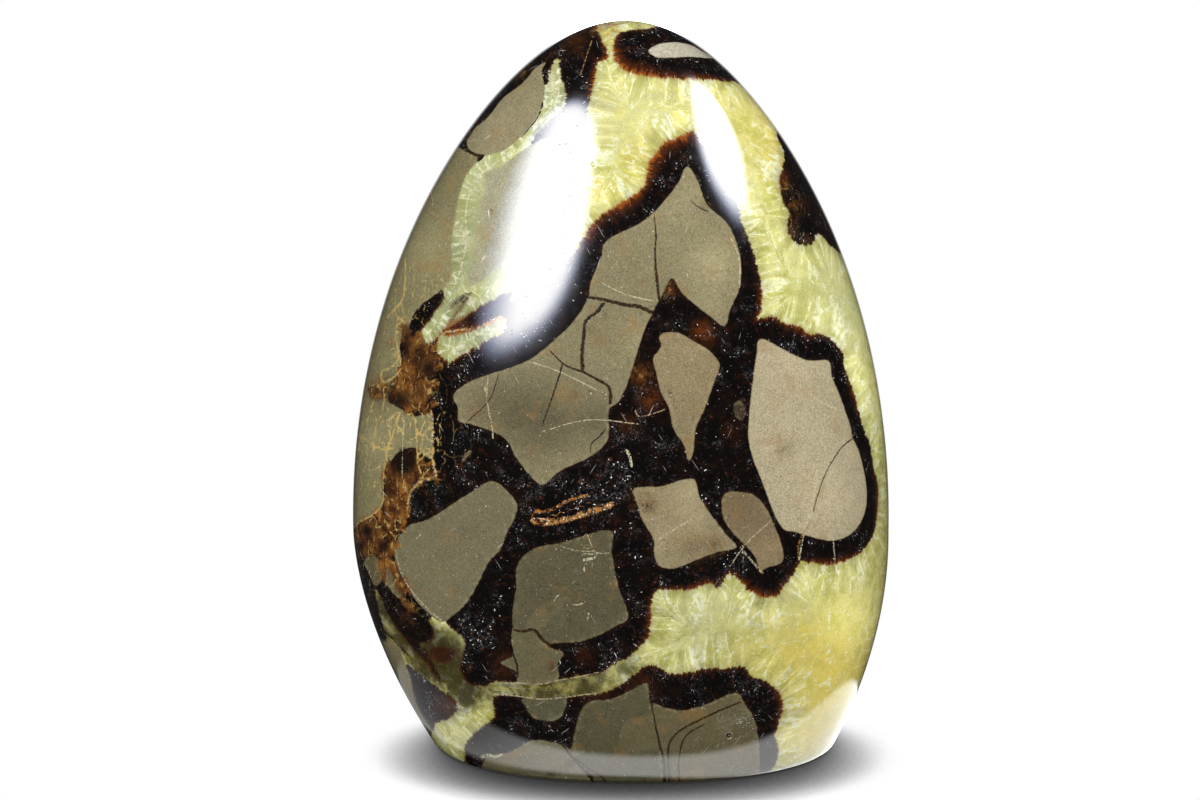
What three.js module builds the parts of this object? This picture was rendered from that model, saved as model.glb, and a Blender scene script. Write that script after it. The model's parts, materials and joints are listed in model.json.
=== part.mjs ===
// A free-standing septarian nodule: one concretion, ground and polished into an
// egg shape that is flattened front to back and stands on a flat cut foot.
// Millimetres, +Z up, +Y towards the back. The origin is the middle of the foot plane.
import * as THREE from 'three';
import { mergeVertices } from 'three/addons/utils/BufferGeometryUtils.js';

// Overall size
const HEIGHT = 150;                // foot plane to tip
const HALF_WIDTH = 55;             // widest level, left to right
const HALF_DEPTH = 33;             // widest level, front to back
const GIRTH_HEIGHT = 45.6;         // level of the widest section

// Upper body: an ellipse that is drawn in towards the tip
const TIP_TAPER = 0.151;
const TIP_TAPER_POWER = 2.53;
const TIP_SHIFT = 0.68;            // the tip stands slightly to the right
const TIP_SHIFT_POWER = 4;

// Lower body: bevels in from the girth to the smaller foot
const FOOT_TAPER_WIDTH = 0.246;
const FOOT_TAPER_DEPTH = 0.14;
const FOOT_TAPER_POWER = 1.88;
const FOOT_SHIFT = 2.87;           // the foot is cut a little right of the middle
const FOOT_SHIFT_POWER = 1.2;
const FOOT_BEVEL = 0.8;            // broken edge around the flat

// Horizontal sections are superellipses, slightly squarer than an ellipse
const SECTION_POWER = 2.2;

// Facets
const SEGMENTS_AROUND = 80;
const RINGS_BELOW_GIRTH = 11;
const RINGS_ABOVE_GIRTH = 26;

// How far a level lies above the girth, 0 at the girth and 1 at the tip.
function rise(z) {
  return THREE.MathUtils.clamp((z - GIRTH_HEIGHT) / (HEIGHT - GIRTH_HEIGHT), 0, 1);
}

// How far a level lies below the girth, 0 at the girth and 1 at the foot.
function drop(z) {
  return THREE.MathUtils.clamp((GIRTH_HEIGHT - z) / GIRTH_HEIGHT, 0, 1);
}

// Share of the girth's width or depth that is left after the lower body's inward bevel.
function footBevelScale(z, taper) {
  return 1 - taper * drop(z) ** FOOT_TAPER_POWER;
}

// Half the width at this level: an ellipse above the girth, drawn in towards the tip.
function halfWidth(z) {
  const t = rise(z);
  const ellipse = Math.sqrt(1 - t * t);
  const taper = 1 - TIP_TAPER * t ** TIP_TAPER_POWER;
  return HALF_WIDTH * ellipse * taper * footBevelScale(z, FOOT_TAPER_WIDTH);
}

// Depth of the section at this level as a share of its width.
function flatness(z) {
  const bevelRatio = footBevelScale(z, FOOT_TAPER_DEPTH) / footBevelScale(z, FOOT_TAPER_WIDTH);
  return (HALF_DEPTH / HALF_WIDTH) * bevelRatio;
}

// Sideways place of a section's middle: the nodule leans gently to the right at both ends.
function sectionMiddle(z) {
  return FOOT_SHIFT * drop(z) ** FOOT_SHIFT_POWER + TIP_SHIFT * rise(z) ** TIP_SHIFT_POWER;
}

// Right-hand outline from the middle of the foot, around the bevel, up to the tip.
function sideOutline() {
  const outline = [
    new THREE.Vector2(0, 0),
    new THREE.Vector2(halfWidth(0) - FOOT_BEVEL, 0),
  ];
  for (let ring = 0; ring < RINGS_BELOW_GIRTH; ring += 1) {
    const z = THREE.MathUtils.lerp(FOOT_BEVEL, GIRTH_HEIGHT, ring / RINGS_BELOW_GIRTH);
    outline.push(new THREE.Vector2(halfWidth(z), z));
  }
  for (let ring = 0; ring < RINGS_ABOVE_GIRTH; ring += 1) {
    const angle = (Math.PI / 2) * (ring / RINGS_ABOVE_GIRTH);
    const z = GIRTH_HEIGHT + (HEIGHT - GIRTH_HEIGHT) * Math.sin(angle);
    outline.push(new THREE.Vector2(halfWidth(z), z));
  }
  outline.push(new THREE.Vector2(0, HEIGHT));
  return outline;
}

// A sine or cosine bent so that a circle's point moves onto the superellipse.
function squared(value) {
  return Math.sign(value) * Math.abs(value) ** (2 / SECTION_POWER);
}

// Turns the round section at each level into a superellipse of that level's width and depth.
function flattenSections(geometry) {
  const position = geometry.attributes.position;
  for (let i = 0; i < position.count; i += 1) {
    const x = position.getX(i);
    const y = position.getY(i);
    const z = position.getZ(i);
    const radius = Math.hypot(x, y);
    const turn = Math.atan2(y, x);
    position.setX(i, sectionMiddle(z) + radius * squared(Math.cos(turn)));
    position.setY(i, radius * flatness(z) * squared(Math.sin(turn)));
  }
}

// The stone comes off the lathe round and is then flattened; seams are merged shut.
function noduleGeometry() {
  const turned = new THREE.LatheGeometry(sideOutline(), SEGMENTS_AROUND);
  turned.rotateX(Math.PI / 2);
  turned.deleteAttribute('normal');
  turned.deleteAttribute('uv');
  const geometry = mergeVertices(turned, 1e-4);
  flattenSections(geometry);
  geometry.computeBoundingBox();
  const middle = geometry.boundingBox.getCenter(new THREE.Vector3());
  geometry.translate(-middle.x, -middle.y, 0);
  geometry.computeVertexNormals();
  return geometry;
}

// Olive-grey mudstone with yellow calcite and dark veins, polished bright.
function polishedStone() {
  return new THREE.MeshStandardMaterial({ color: 0x8f8763, roughness: 0.1, metalness: 0 });
}

function septarianNodule() {
  const nodule = new THREE.Mesh(noduleGeometry(), polishedStone());
  nodule.name = 'septarian_nodule';
  return nodule;
}

const model = new THREE.Group();
model.add(septarianNodule());

export default model;
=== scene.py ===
# A polished, free-standing septarian nodule on a pale studio floor.
# Blender units are metres, +Z is up and the stone's front faces -Y.
import json
import math
from types import SimpleNamespace

import bmesh
import bpy
import numpy as np
from mathutils import Matrix, Vector, noise
from mathutils.kdtree import KDTree

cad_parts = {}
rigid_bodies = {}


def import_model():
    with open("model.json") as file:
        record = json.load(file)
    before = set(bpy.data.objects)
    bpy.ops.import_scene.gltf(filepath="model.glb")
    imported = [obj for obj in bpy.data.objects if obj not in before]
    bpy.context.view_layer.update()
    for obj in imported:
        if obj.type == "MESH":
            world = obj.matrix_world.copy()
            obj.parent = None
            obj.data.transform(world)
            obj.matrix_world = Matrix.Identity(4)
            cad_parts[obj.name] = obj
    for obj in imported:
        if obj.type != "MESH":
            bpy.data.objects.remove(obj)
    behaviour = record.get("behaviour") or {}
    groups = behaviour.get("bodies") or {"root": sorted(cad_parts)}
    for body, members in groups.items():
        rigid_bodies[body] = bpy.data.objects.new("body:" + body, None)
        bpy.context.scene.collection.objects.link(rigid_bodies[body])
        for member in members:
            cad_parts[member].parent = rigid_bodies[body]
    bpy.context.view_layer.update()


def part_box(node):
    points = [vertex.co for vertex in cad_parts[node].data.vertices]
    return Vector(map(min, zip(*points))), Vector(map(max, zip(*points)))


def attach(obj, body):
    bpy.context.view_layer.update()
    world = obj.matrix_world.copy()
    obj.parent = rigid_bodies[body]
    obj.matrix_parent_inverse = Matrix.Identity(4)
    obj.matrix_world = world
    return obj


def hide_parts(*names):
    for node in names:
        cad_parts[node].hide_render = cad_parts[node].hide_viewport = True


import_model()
stoneNode = "septarian_nodule"
stoneLow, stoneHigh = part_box(stoneNode)
mm = 1000.0   # patterns on the stone are worked out in millimetres


# The camera looks a little down at the stone's front.
cameraSetup = {
    "lens": 100.0,            # millimetres, on a 36 mm wide sensor
    "sensor": 36.0,
    "distance": 0.680,
    "elevation": 13.2,        # degrees above the horizon
    "aimX": -0.0043,
    "aimHeight": 0.0725,
    "imageWidth": 1200.0,
    "imageHeight": 800.0,
}


def makeCamera():
    tilt = math.radians(cameraSetup["elevation"])
    aim = Vector((cameraSetup["aimX"], 0, cameraSetup["aimHeight"]))
    back = Vector((0, -math.cos(tilt), math.sin(tilt)))
    data = bpy.data.cameras.new("camera")
    data.lens = cameraSetup["lens"]
    data.sensor_width = cameraSetup["sensor"]
    data.clip_start = 0.01
    camera = bpy.data.objects.new("camera", data)
    camera.location = aim + back * cameraSetup["distance"]
    camera.rotation_euler = (math.radians(90) - tilt, 0, 0)
    bpy.context.scene.collection.objects.link(camera)
    bpy.context.scene.camera = camera


def toImage(points):
    # where points in millimetres stand in the camera's picture, the camera's place and its focal length
    tilt = math.radians(cameraSetup["elevation"])
    right = np.array((1.0, 0.0, 0.0))
    up = np.array((0.0, math.sin(tilt), math.cos(tilt)))
    forward = np.array((0.0, math.cos(tilt), -math.sin(tilt)))
    aim = np.array((cameraSetup["aimX"], 0, cameraSetup["aimHeight"])) * mm
    eye = aim - forward * cameraSetup["distance"] * mm
    focal = cameraSetup["lens"] / cameraSetup["sensor"] * cameraSetup["imageWidth"]
    offset = points - eye
    depth = offset @ forward
    across = cameraSetup["imageWidth"] / 2 + focal * (offset @ right) / depth
    down = cameraSetup["imageHeight"] / 2 - focal * (offset @ up) / depth
    return np.stack([across, down], 1), eye, focal


# Small helpers that every node tree uses.
class Link:
    # a node's output; plain arithmetic on it adds Math nodes to its own tree
    def __init__(self, socket):
        self.socket = socket

    def __add__(self, other):
        return calc("ADD", self, other)

    def __radd__(self, other):
        return calc("ADD", other, self)

    def __sub__(self, other):
        return calc("SUBTRACT", self, other)

    def __rsub__(self, other):
        return calc("SUBTRACT", other, self)

    def __mul__(self, other):
        return calc("MULTIPLY", self, other)

    def __truediv__(self, other):
        return calc("DIVIDE", self, other)

    def __rtruediv__(self, other):
        return calc("DIVIDE", other, self)


def wire(value, socket):
    if isinstance(value, Link):
        socket.id_data.links.new(value.socket, socket)
    elif value is not None:
        socket.default_value = value


def addNode(kind, *values, tree=None, **settings):
    # a node in the tree of its first linked value, with its inputs filled in order
    tree = tree or next(value.socket.id_data for value in values if isinstance(value, Link))
    node = tree.nodes.new(kind)
    for name, setting in settings.items():
        setattr(node, name, setting)
    for value, socket in zip(values, node.inputs):
        wire(value, socket)
    return node


def outputsOf(node):
    return {output.name: Link(output) for output in node.outputs}


def source(tree, kind, output=0):
    return Link(tree.nodes.new(kind).outputs[output])


def calc(operation, *values, clamp=False):
    return Link(addNode("ShaderNodeMath", *values, operation=operation, use_clamp=clamp).outputs[0])


def fade(value, low, high, start=0.0, end=1.0):
    # a smooth step from start to end while the value goes from low to high
    node = addNode("ShaderNodeMapRange", value, low, high, start, end, interpolation_type="SMOOTHSTEP")
    return Link(node.outputs[0])


def noiseOf(vector, scale, detail=2.0, roughness=0.5, output="Fac"):
    return Link(addNode("ShaderNodeTexNoise", vector, None, scale, detail, roughness).outputs[output])


def parts(vector):
    return [Link(output) for output in addNode("ShaderNodeSeparateXYZ", vector).outputs]


def joined(x, y, z):
    return Link(addNode("ShaderNodeCombineXYZ", x, y, z).outputs[0])


# The turned and flattened body. Lengths in metres, shares without a unit.
bodyShape = {
    "Around": 390,
    "Foot Rings": 15,
    "Lower Rings": 64,
    "Upper Rings": 160,
    "Front Crowding": 0.3,      # faces are finer at the front
    "Tip Crowding": 0.38,
    "Half Width": stoneHigh.x,
    "Half Depth": stoneHigh.y,
    "Height": stoneHigh.z,
    "Girth Height": 0.0456,
    "Tip Taper": 0.151,
    "Tip Taper Power": 2.53,
    "Tip Shift": 0.00068,
    "Tip Shift Power": 4.0,
    "Foot Taper Width": 0.246,
    "Foot Taper Depth": 0.14,
    "Foot Taper Power": 1.88,
    "Foot Shift": 0.00287,
    "Foot Shift Power": 1.2,
    "Foot Bevel": 0.0008,
    "Section Power": 2.2,
    "Ripple": 0.006,            # hand polishing leaves the sides slightly uneven
    "Ripple Scale": 22.0,
}


def bodyTree(material):
    tree = bpy.data.node_groups.new("polished egg body", "GeometryNodeTree")
    tree.interface.new_socket("Geometry", in_out="OUTPUT", socket_type="NodeSocketGeometry")
    tree.interface.new_socket("Geometry", in_out="INPUT", socket_type="NodeSocketGeometry")
    for name, value in bodyShape.items():
        kind = "NodeSocketInt" if isinstance(value, int) else "NodeSocketFloat"
        tree.interface.new_socket(name, in_out="INPUT", socket_type=kind)
    size = outputsOf(tree.nodes.new("NodeGroupInput"))

    # a flat grid, one column to each step around and one row to each ring
    rings = size["Foot Rings"] + size["Lower Rings"] + size["Upper Rings"]
    grid = tree.nodes.new("GeometryNodeMeshGrid")
    wire(size["Around"] + 1.0, grid.inputs["Vertices X"])
    wire(rings + 1.0, grid.inputs["Vertices Y"])
    column, line = parts(source(tree, "GeometryNodeInputPosition"))[:2]

    # turn is 0 at the front, and the rows climb from the foot's middle to the tip
    even = column * math.tau
    turn = even - calc("SINE", even) * size["Front Crowding"]
    row = (line + 0.5) * rings
    footPart = calc("DIVIDE", row, size["Foot Rings"], clamp=True)
    lowerPart = calc("DIVIDE", row - size["Foot Rings"], size["Lower Rings"], clamp=True)
    upperRow = row - size["Foot Rings"] - size["Lower Rings"]
    upperPart = calc("DIVIDE", upperRow, size["Upper Rings"], clamp=True)
    bend = calc("SINE", upperPart * math.pi) * (1 / math.pi)
    upperAngle = upperPart - bend * size["Tip Crowding"]
    rise = calc("SINE", upperAngle * (math.pi / 2))
    drop = 1.0 - lowerPart
    height = size["Girth Height"] * lowerPart + (size["Height"] - size["Girth Height"]) * rise

    # half the width and half the depth at each height, as the frame's own solid has them
    circle = calc("SQRT", calc("SUBTRACT", 1.0, rise * rise, clamp=True))
    upper = circle * (1.0 - size["Tip Taper"] * calc("POWER", rise, size["Tip Taper Power"]))
    footCurve = calc("POWER", drop, size["Foot Taper Power"])
    bevel = size["Foot Bevel"] * calc("SUBTRACT", 1.0, height / size["Foot Bevel"], clamp=True)

    def halfSize(half, taper):
        side = size[half] * upper * (1.0 - size[taper] * footCurve)
        return (side - bevel) * footPart

    def squared(value):
        return calc("SIGN", value) * calc("POWER", calc("ABSOLUTE", value), 2.0 / size["Section Power"])

    footShift = size["Foot Shift"] * calc("POWER", drop, size["Foot Shift Power"])
    middle = footShift + size["Tip Shift"] * calc("POWER", rise, size["Tip Shift Power"])
    across = halfSize("Half Width", "Foot Taper Width") * squared(calc("SINE", turn))
    back = halfSize("Half Depth", "Foot Taper Depth") * squared(calc("COSINE", turn)) * -1.0

    # a slow, shallow unevenness, sideways only so that the foot stays flat
    swell = 1.0 + (noiseOf(joined(across, back, height), size["Ripple Scale"], 0.0) - 0.5) * size["Ripple"]
    place = joined(middle + across * swell, back * swell, height)

    shape = Link(grid.outputs[0])
    for kind, name, value in (("GeometryNodeSetPosition", "Position", place),
                              ("GeometryNodeMergeByDistance", "Distance", 0.00001),
                              ("GeometryNodeRealizeInstances", 0, None),
                              ("GeometryNodeSetMaterial", "Material", material)):
        node = addNode(kind, shape)
        wire(value, node.inputs[name])
        shape = Link(node.outputs[0])
    wire(shape, tree.nodes.new("NodeGroupOutput").inputs[0])
    return tree


# natural pinholes that the polish left open: place in millimetres, radius and depth
stonePits = [
    (21.5, -28.0, 10.05, 0.70, 0.8), (-25.7, -18.55, 114.7, 0.40, 0.35), (-6.3, -30.6, 81.3, 0.36, 0.3),
    (9.35, -30.4, 80.9, 0.36, 0.3), (-5.6, -19.9, 124.3, 0.42, 0.3),
]


def dentPits(mesh):
    # finer faces around each pinhole, then its hollow
    work = bmesh.new()
    work.from_mesh(mesh)
    for x, y, z, radius, depth in stonePits:
        middle = Vector((x, y, z)) / mm
        radius, depth = radius / mm, depth / mm
        for rounds in range(2):
            wide = max(radius * (3.0 - rounds), 0.0009)
            edges = [edge for edge in work.edges if (edge.verts[0].co - middle).length < wide
                     and (edge.verts[1].co - middle).length < wide]
            bmesh.ops.subdivide_edges(work, edges=edges, cuts=2, use_grid_fill=True)
        work.normal_update()
        near = [vert for vert in work.verts if (vert.co - middle).length < radius * 1.5]
        inward = -sum((vert.normal for vert in near), Vector()).normalized()
        for vert in near:
            gap = vert.co - middle
            away = (gap - inward * gap.dot(inward)).length / radius
            hollow = 1 / (1 + (away / 0.8) ** 8)
            vert.co += inward * (depth * hollow)
    work.to_mesh(mesh)
    work.free()


def makeBody(material):
    holder = bpy.data.objects.new("body maker", bpy.data.meshes.new("body maker"))
    bpy.context.scene.collection.objects.link(holder)
    modifier = holder.modifiers.new("polished egg body", "NODES")
    modifier.node_group = bodyTree(material)
    for item in modifier.node_group.interface.items_tree:
        if item.in_out == "INPUT" and item.name in bodyShape:
            modifier[item.identifier] = bodyShape[item.name]
    evaluated = holder.evaluated_get(bpy.context.evaluated_depsgraph_get())
    mesh = bpy.data.meshes.new_from_object(evaluated)
    bpy.data.objects.remove(holder)
    mesh.name = "septarian_stone"
    dentPits(mesh)
    mesh.shade_smooth()
    mesh.set_sharp_from_angle(angle=math.radians(30))
    stone = bpy.data.objects.new("septarian_stone", mesh)
    bpy.context.scene.collection.objects.link(stone)
    print("stone body:", len(mesh.vertices), "points,", len(mesh.loop_triangles), "triangles")
    return stone


# Where the stone's figure is drawn. Corners are in the camera's picture, 1200 wide and 800 high,
# and corners past the silhouette are carried on around the edge at the same scale.
figure = {
    "middle": (621.0, 430.0),      # the silhouette's own middle, in the picture
    "pointStep": 2.0,              # spacing of the points along a drawn outline
    "liftReach": 0.6,              # how far a point may move to lie on the surface, in millimetres
    "seamReach": 1.6,              # how far from its middle a seam is still stored, in millimetres
    "spotFall": 1.2,               # a higher value makes the painted spots smaller
}

mudBlocks = {
    "topLens": [(648, 51), (656, 45), (674, 42), (691, 45), (702, 51), (713, 58), (691, 57), (656, 57)],
    "crest": [(520, 85), (503, 98), (487, 118), (471, 131), (467, 138), (468, 148), (483, 156), (492, 154),
        (505, 150), (534, 122), (542, 107), (543, 100), (545, 89), (542, 71), (546, 62), (535, 68),
        (528, 77)],
    "shoulder": [(463, 150), (478, 158), (470, 170), (462, 186), (453, 236), (451, 280), (447, 286),
        (424, 303), (414, 314), (408, 330), (400, 345), (402, 362), (395, 385), (388, 400), (402, 409),
        (415, 416), (432, 413), (433, 436), (433, 459), (426, 457), (415, 448), (401, 451), (391, 461),
        (384, 470), (382, 490), (382, 508), (360, 522), (353, 530), (340, 528), (310, 500), (290, 440),
        (300, 380), (330, 300), (410, 170), (440, 140), (455, 143)],
    "veinWedge": [(486, 173), (500, 166), (548, 138), (560, 150), (556, 210), (532, 248), (515, 258),
        (503, 262), (480, 282), (470, 286), (467, 280), (472, 262), (476, 246), (478, 228), (480, 214),
        (478, 205), (482, 196), (484, 185)],
    "peak": [(687, 166), (697, 179), (707, 204), (728, 224), (740, 255), (740, 286), (730, 311), (725, 327),
        (713, 319), (681, 292), (672, 278), (664, 292), (646, 327), (626, 388), (618, 403), (610, 408),
        (608, 439), (595, 454), (559, 472), (544, 485), (540, 485), (516, 458), (508, 442), (495, 433),
        (473, 425), (458, 421), (458, 409), (453, 396), (467, 383), (528, 360), (553, 341), (575, 319),
        (588, 297), (591, 281), (601, 258), (605, 242), (646, 219), (677, 184)],
    "blade": [(659, 335), (676, 332), (694, 341), (712, 353), (720, 365), (714, 383), (706, 406),
        (696, 429), (693, 454), (688, 462), (684, 446), (673, 428), (669, 408), (661, 393), (656, 373),
        (653, 358), (661, 346)],
    "eye": [(738, 400), (744, 404), (746, 412), (742, 421), (735, 416), (733, 407)],
    "chip": [(461, 464), (473, 450), (466, 452)],
    "square": [(632, 489), (661, 486), (694, 479), (700, 497), (726, 534), (737, 547), (719, 552),
        (699, 559), (672, 569), (658, 565), (654, 552), (654, 541), (642, 520), (635, 498)],
    "tongue": [(724, 494), (744, 492), (757, 497), (770, 515), (783, 561), (767, 568), (761, 572),
        (754, 556), (724, 520)],
    "right": [(759, 339), (807, 360), (829, 361), (832, 376), (839, 393), (850, 425), (853, 438),
        (859, 451), (867, 494), (863, 518), (851, 534), (833, 541), (794, 532), (783, 529), (760, 477),
        (751, 453), (748, 433), (757, 349)],
    "left": [(493, 481), (517, 504), (516, 515), (506, 535), (501, 549), (489, 562), (479, 582), (466, 604),
        (454, 615), (442, 622), (411, 594), (394, 553), (399, 537), (408, 526), (428, 519), (471, 492)],
    "lowerCentre": [(612, 531), (612, 552), (618, 584), (628, 619), (618, 625), (600, 635), (579, 642),
        (563, 643), (549, 643), (534, 631), (524, 631), (514, 629), (512, 615), (516, 587), (516, 569),
        (524, 555), (538, 547), (560, 543)],
    "lowerSmall": [(513, 628), (524, 630), (533, 629), (541, 639), (552, 648), (564, 653), (558, 664),
        (558, 679), (518, 683), (516, 672), (500, 663), (513, 655), (511, 641)],
    "halfMoon": [(521, 698), (543, 699), (566, 696), (565, 710), (559, 719), (545, 721), (532, 717),
        (526, 708)],
    "bottomCentre": [(590, 701), (611, 699), (631, 690), (647, 683), (650, 702), (661, 746), (663, 784),
        (660, 860), (640, 900), (600, 880), (600, 800), (590, 773), (572, 753), (573, 740), (582, 708)],
    "bottomRight": [(652, 703), (664, 707), (682, 710), (704, 705), (738, 693), (745, 704), (754, 718),
        (759, 742), (760, 775), (762, 820), (750, 870), (700, 880), (667, 850), (665, 781), (664, 762),
        (655, 722)],
    "heel": [(532, 740), (563, 745), (572, 752), (598, 800), (590, 840), (540, 830), (490, 800), (480, 775),
        (487, 757), (509, 752), (524, 744)],
    "stripUpper": [(364, 560), (374, 556), (380, 562), (383, 575), (381, 583), (375, 586), (369, 574)],
    "stripLower": [(386, 563), (401, 592), (404, 600), (398, 598), (390, 590), (384, 580)],
    # heelLeft lies along the lower left, where its lighter tint is partly a painted reflection of the floor
    "heelLeft": [(385, 640), (395, 643), (411, 680), (415, 700), (424, 718), (432, 732), (425, 745),
        (405, 730), (390, 700), (375, 665), (375, 645)],
}

# what each block's mudstone looks like, from 0 to 255 in display red, green and blue; the blocks lower down
# are darker partly as painted shade, for light that falls from above
blockTints = {
    "topLens": (168, 162, 142), "crest": (125, 116, 88), "shoulder": (117, 110, 78),
    "veinWedge": (144, 139, 112),
    "peak": (117, 109, 81), "blade": (125, 112, 83), "eye": (54, 44, 33), "chip": (96, 86, 64),
    "square": (125, 114, 86), "tongue": (112, 97, 71), "right": (156, 145, 116),
    "left": (102, 96, 72), "lowerCentre": (80, 75, 54), "lowerSmall": (89, 84, 60),
    "halfMoon": (78, 75, 54), "bottomCentre": (76, 72, 51), "bottomRight": (90, 83, 58),
    "heel": (98, 92, 68), "stripUpper": (86, 78, 54), "stripLower": (94, 86, 62),
    # heelLeft is lighter partly as a painted reflection of the floor
    "heelLeft": (112, 104, 76),
}

calciteFields = {
    "lowerStrip": [(376, 588), (388, 615), (406, 641), (426, 664), (434, 676), (443, 686), (446, 694),
        (436, 686), (396, 652), (380, 615)],
    "main": [(597, 28), (608, 58), (597, 64), (594, 85), (590, 97), (586, 118), (578, 205), (574, 225),
        (566, 256), (572, 256), (588, 230), (607, 211), (633, 196), (645, 183), (648, 168), (656, 153),
        (666, 143), (680, 137), (692, 132), (708, 152), (737, 204), (741, 220), (749, 238), (762, 288),
        (762, 304), (759, 314), (757, 318), (773, 317), (786, 324), (799, 326), (810, 334), (824, 334),
        (842, 352), (845, 369), (853, 390), (864, 430), (870, 445), (873, 464), (878, 487), (876, 524),
        (869, 543), (854, 557), (827, 565), (810, 563), (799, 561), (797, 570), (788, 581), (777, 595),
        (763, 597), (747, 590), (740, 581), (729, 575), (719, 588), (711, 584), (690, 590), (672, 591),
        (656, 591), (650, 632), (649, 664), (657, 666), (670, 673), (684, 673), (704, 669), (725, 668),
        (743, 667), (753, 677), (770, 683), (782, 698), (782, 712), (776, 732), (778, 751), (776, 763),
        (770, 773), (780, 800), (840, 800), (960, 700), (980, 500), (950, 300), (880, 160), (800, 60),
        (740, 10), (700, -30), (640, -40), (600, -10)],
    "greenVein": [(555, 60), (550, 75), (545, 89), (541, 115), (505, 151), (483, 160), (463, 186),
        (458, 200), (454, 236), (449, 290), (421, 335), (425, 345), (448, 324), (472, 287), (489, 274),
        (502, 254), (521, 225), (518, 205), (520, 165), (532, 140), (548, 122), (560, 112), (566, 100),
        (560, 71), (559, 59)],
    "veinFoot": [(478, 268), (492, 262), (530, 226), (546, 222), (556, 230), (516, 296), (484, 314),
        (455, 330), (447, 330), (466, 303), (473, 290), (480, 281)],
    "sparkPocket": [(443, 333), (437, 348), (448, 362), (467, 352), (489, 340), (507, 327), (502, 316),
        (480, 327), (464, 333)],
    "yellowBand": [(489, 684), (541, 684), (560, 680), (578, 677), (599, 674), (613, 665), (627, 658),
        (647, 639), (654, 630), (652, 662), (642, 668), (627, 680), (599, 694), (581, 695), (541, 699),
        (517, 695), (492, 694)],
    "lowerLeft": [(430, 619), (442, 621), (454, 631), (464, 641), (462, 653), (460, 670), (466, 682),
        (479, 687), (492, 685), (494, 694), (493, 702), (495, 716), (484, 725), (471, 736), (465, 745),
        (463, 762), (440, 757), (432, 746), (436, 724), (450, 718), (458, 708), (441, 684), (428, 656),
        (421, 645), (432, 641), (434, 631)],
}

# dark patches that lie inside the calcite
calciteIslands = {
    "topRing": [(613, 52), (615, 40), (622, 32), (650, 28), (665, 24), (680, 18), (720, 10), (770, 40),
        (775, 75), (760, 92), (738, 83), (720, 81), (700, 79), (674, 79), (624, 70), (616, 62)],
    "rightPatch": [(777, 135), (783, 150), (783, 165), (779, 178), (784, 205), (789, 212), (787, 229),
        (800, 245), (812, 244), (818, 234), (828, 243), (839, 253), (852, 262), (868, 250), (862, 222),
        (845, 190), (785, 125)],
    "veinBand": [(443, 331), (455, 322), (512, 292), (512, 300), (503, 314), (492, 322), (460, 333),
        (448, 336)],
    "blobHigh": [(383, 585), (388, 586), (406, 618), (401, 622), (393, 612), (386, 601)],
    "blobLow": [(405, 622), (411, 619), (431, 632), (430, 641), (420, 643), (410, 636)],
    "redSpot": [(428, 651), (434, 647), (455, 650), (454, 658), (446, 663), (436, 662)],
    "veinLeaf": [(451, 308), (459, 297), (473, 287), (469, 294), (460, 303)],
}

# rusty, altered rock
rustPatches = {
    "upperLeft": [(401, 325), (418, 335), (436, 350), (438, 366), (433, 385), (432, 413), (415, 416),
        (388, 401), (370, 399), (368, 385), (389, 381), (402, 355)],
    "column": [(384, 470), (391, 461), (401, 451), (418, 455), (424, 463), (438, 477), (426, 480),
        (410, 490), (407, 521), (399, 539), (393, 555), (407, 582), (411, 594), (400, 594), (388, 566),
        (376, 553), (362, 556), (354, 540), (358, 524), (372, 516), (382, 508), (382, 490)],
    "leftSeam": [(392, 550), (404, 588), (413, 612), (407, 608), (396, 582), (391, 566)],
    "leftBranch": [(380, 550), (385, 552), (387, 566), (385, 584), (382, 574), (381, 562)],
}


def smoothPath(corners, closed):
    # a rounded path through the corners (centripetal Catmull-Rom), evenly filled with points
    knots = np.array(corners, float)
    if closed:
        knots = np.concatenate([knots[-1:], knots, knots[:2]])
    else:
        knots = np.concatenate([2 * knots[:1] - knots[1:2], knots, 2 * knots[-1:] - knots[-2:-1]])
    path = []
    for first in range(len(knots) - 3):
        a, b, c, d = knots[first:first + 4]
        tb = max(np.linalg.norm(b - a), 1e-3) ** 0.5
        tc = tb + max(np.linalg.norm(c - b), 1e-3) ** 0.5
        td = tc + max(np.linalg.norm(d - c), 1e-3) ** 0.5
        count = max(1, int(round(np.linalg.norm(c - b) / figure["pointStep"])))
        for t in np.linspace(tb, tc, count, endpoint=False):
            ab = a * (tb - t) / tb + b * t / tb
            bc = b * (tc - t) / (tc - tb) + c * (t - tb) / (tc - tb)
            cd = c * (td - t) / (td - tc) + d * (t - tc) / (td - tc)
            abc = ab * (tc - t) / tc + bc * t / tc
            bcd = bc * (td - t) / (td - tb) + cd * (t - tb) / (td - tb)
            path.append(abc * (tc - t) / (tc - tb) + bcd * (t - tb) / (tc - tb))
    if not closed:
        path.append(knots[-2])
    return np.array(path)


def isInside(places, path):
    # counts how often a line to the right of each place crosses the path
    near = np.nonzero(((places >= path.min(0)) & (places <= path.max(0))).all(1))[0]
    x, y = places[near].T
    crossings = np.zeros(len(near), int)
    for (ax, ay), (bx, by) in zip(path, np.roll(path, -1, 0)):
        if ay == by:
            continue
        spans = (ay > y) != (by > y)
        crossings += spans & (x < ax + (y - ay) * (bx - ax) / (by - ay))
    result = np.zeros(len(places), bool)
    result[near] = crossings % 2 == 1
    return result


def makeFinder(points):
    tree = KDTree(len(points))
    for index, point in enumerate(points.tolist()):
        tree.insert(point, index)
    tree.balance()
    return tree


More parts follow.
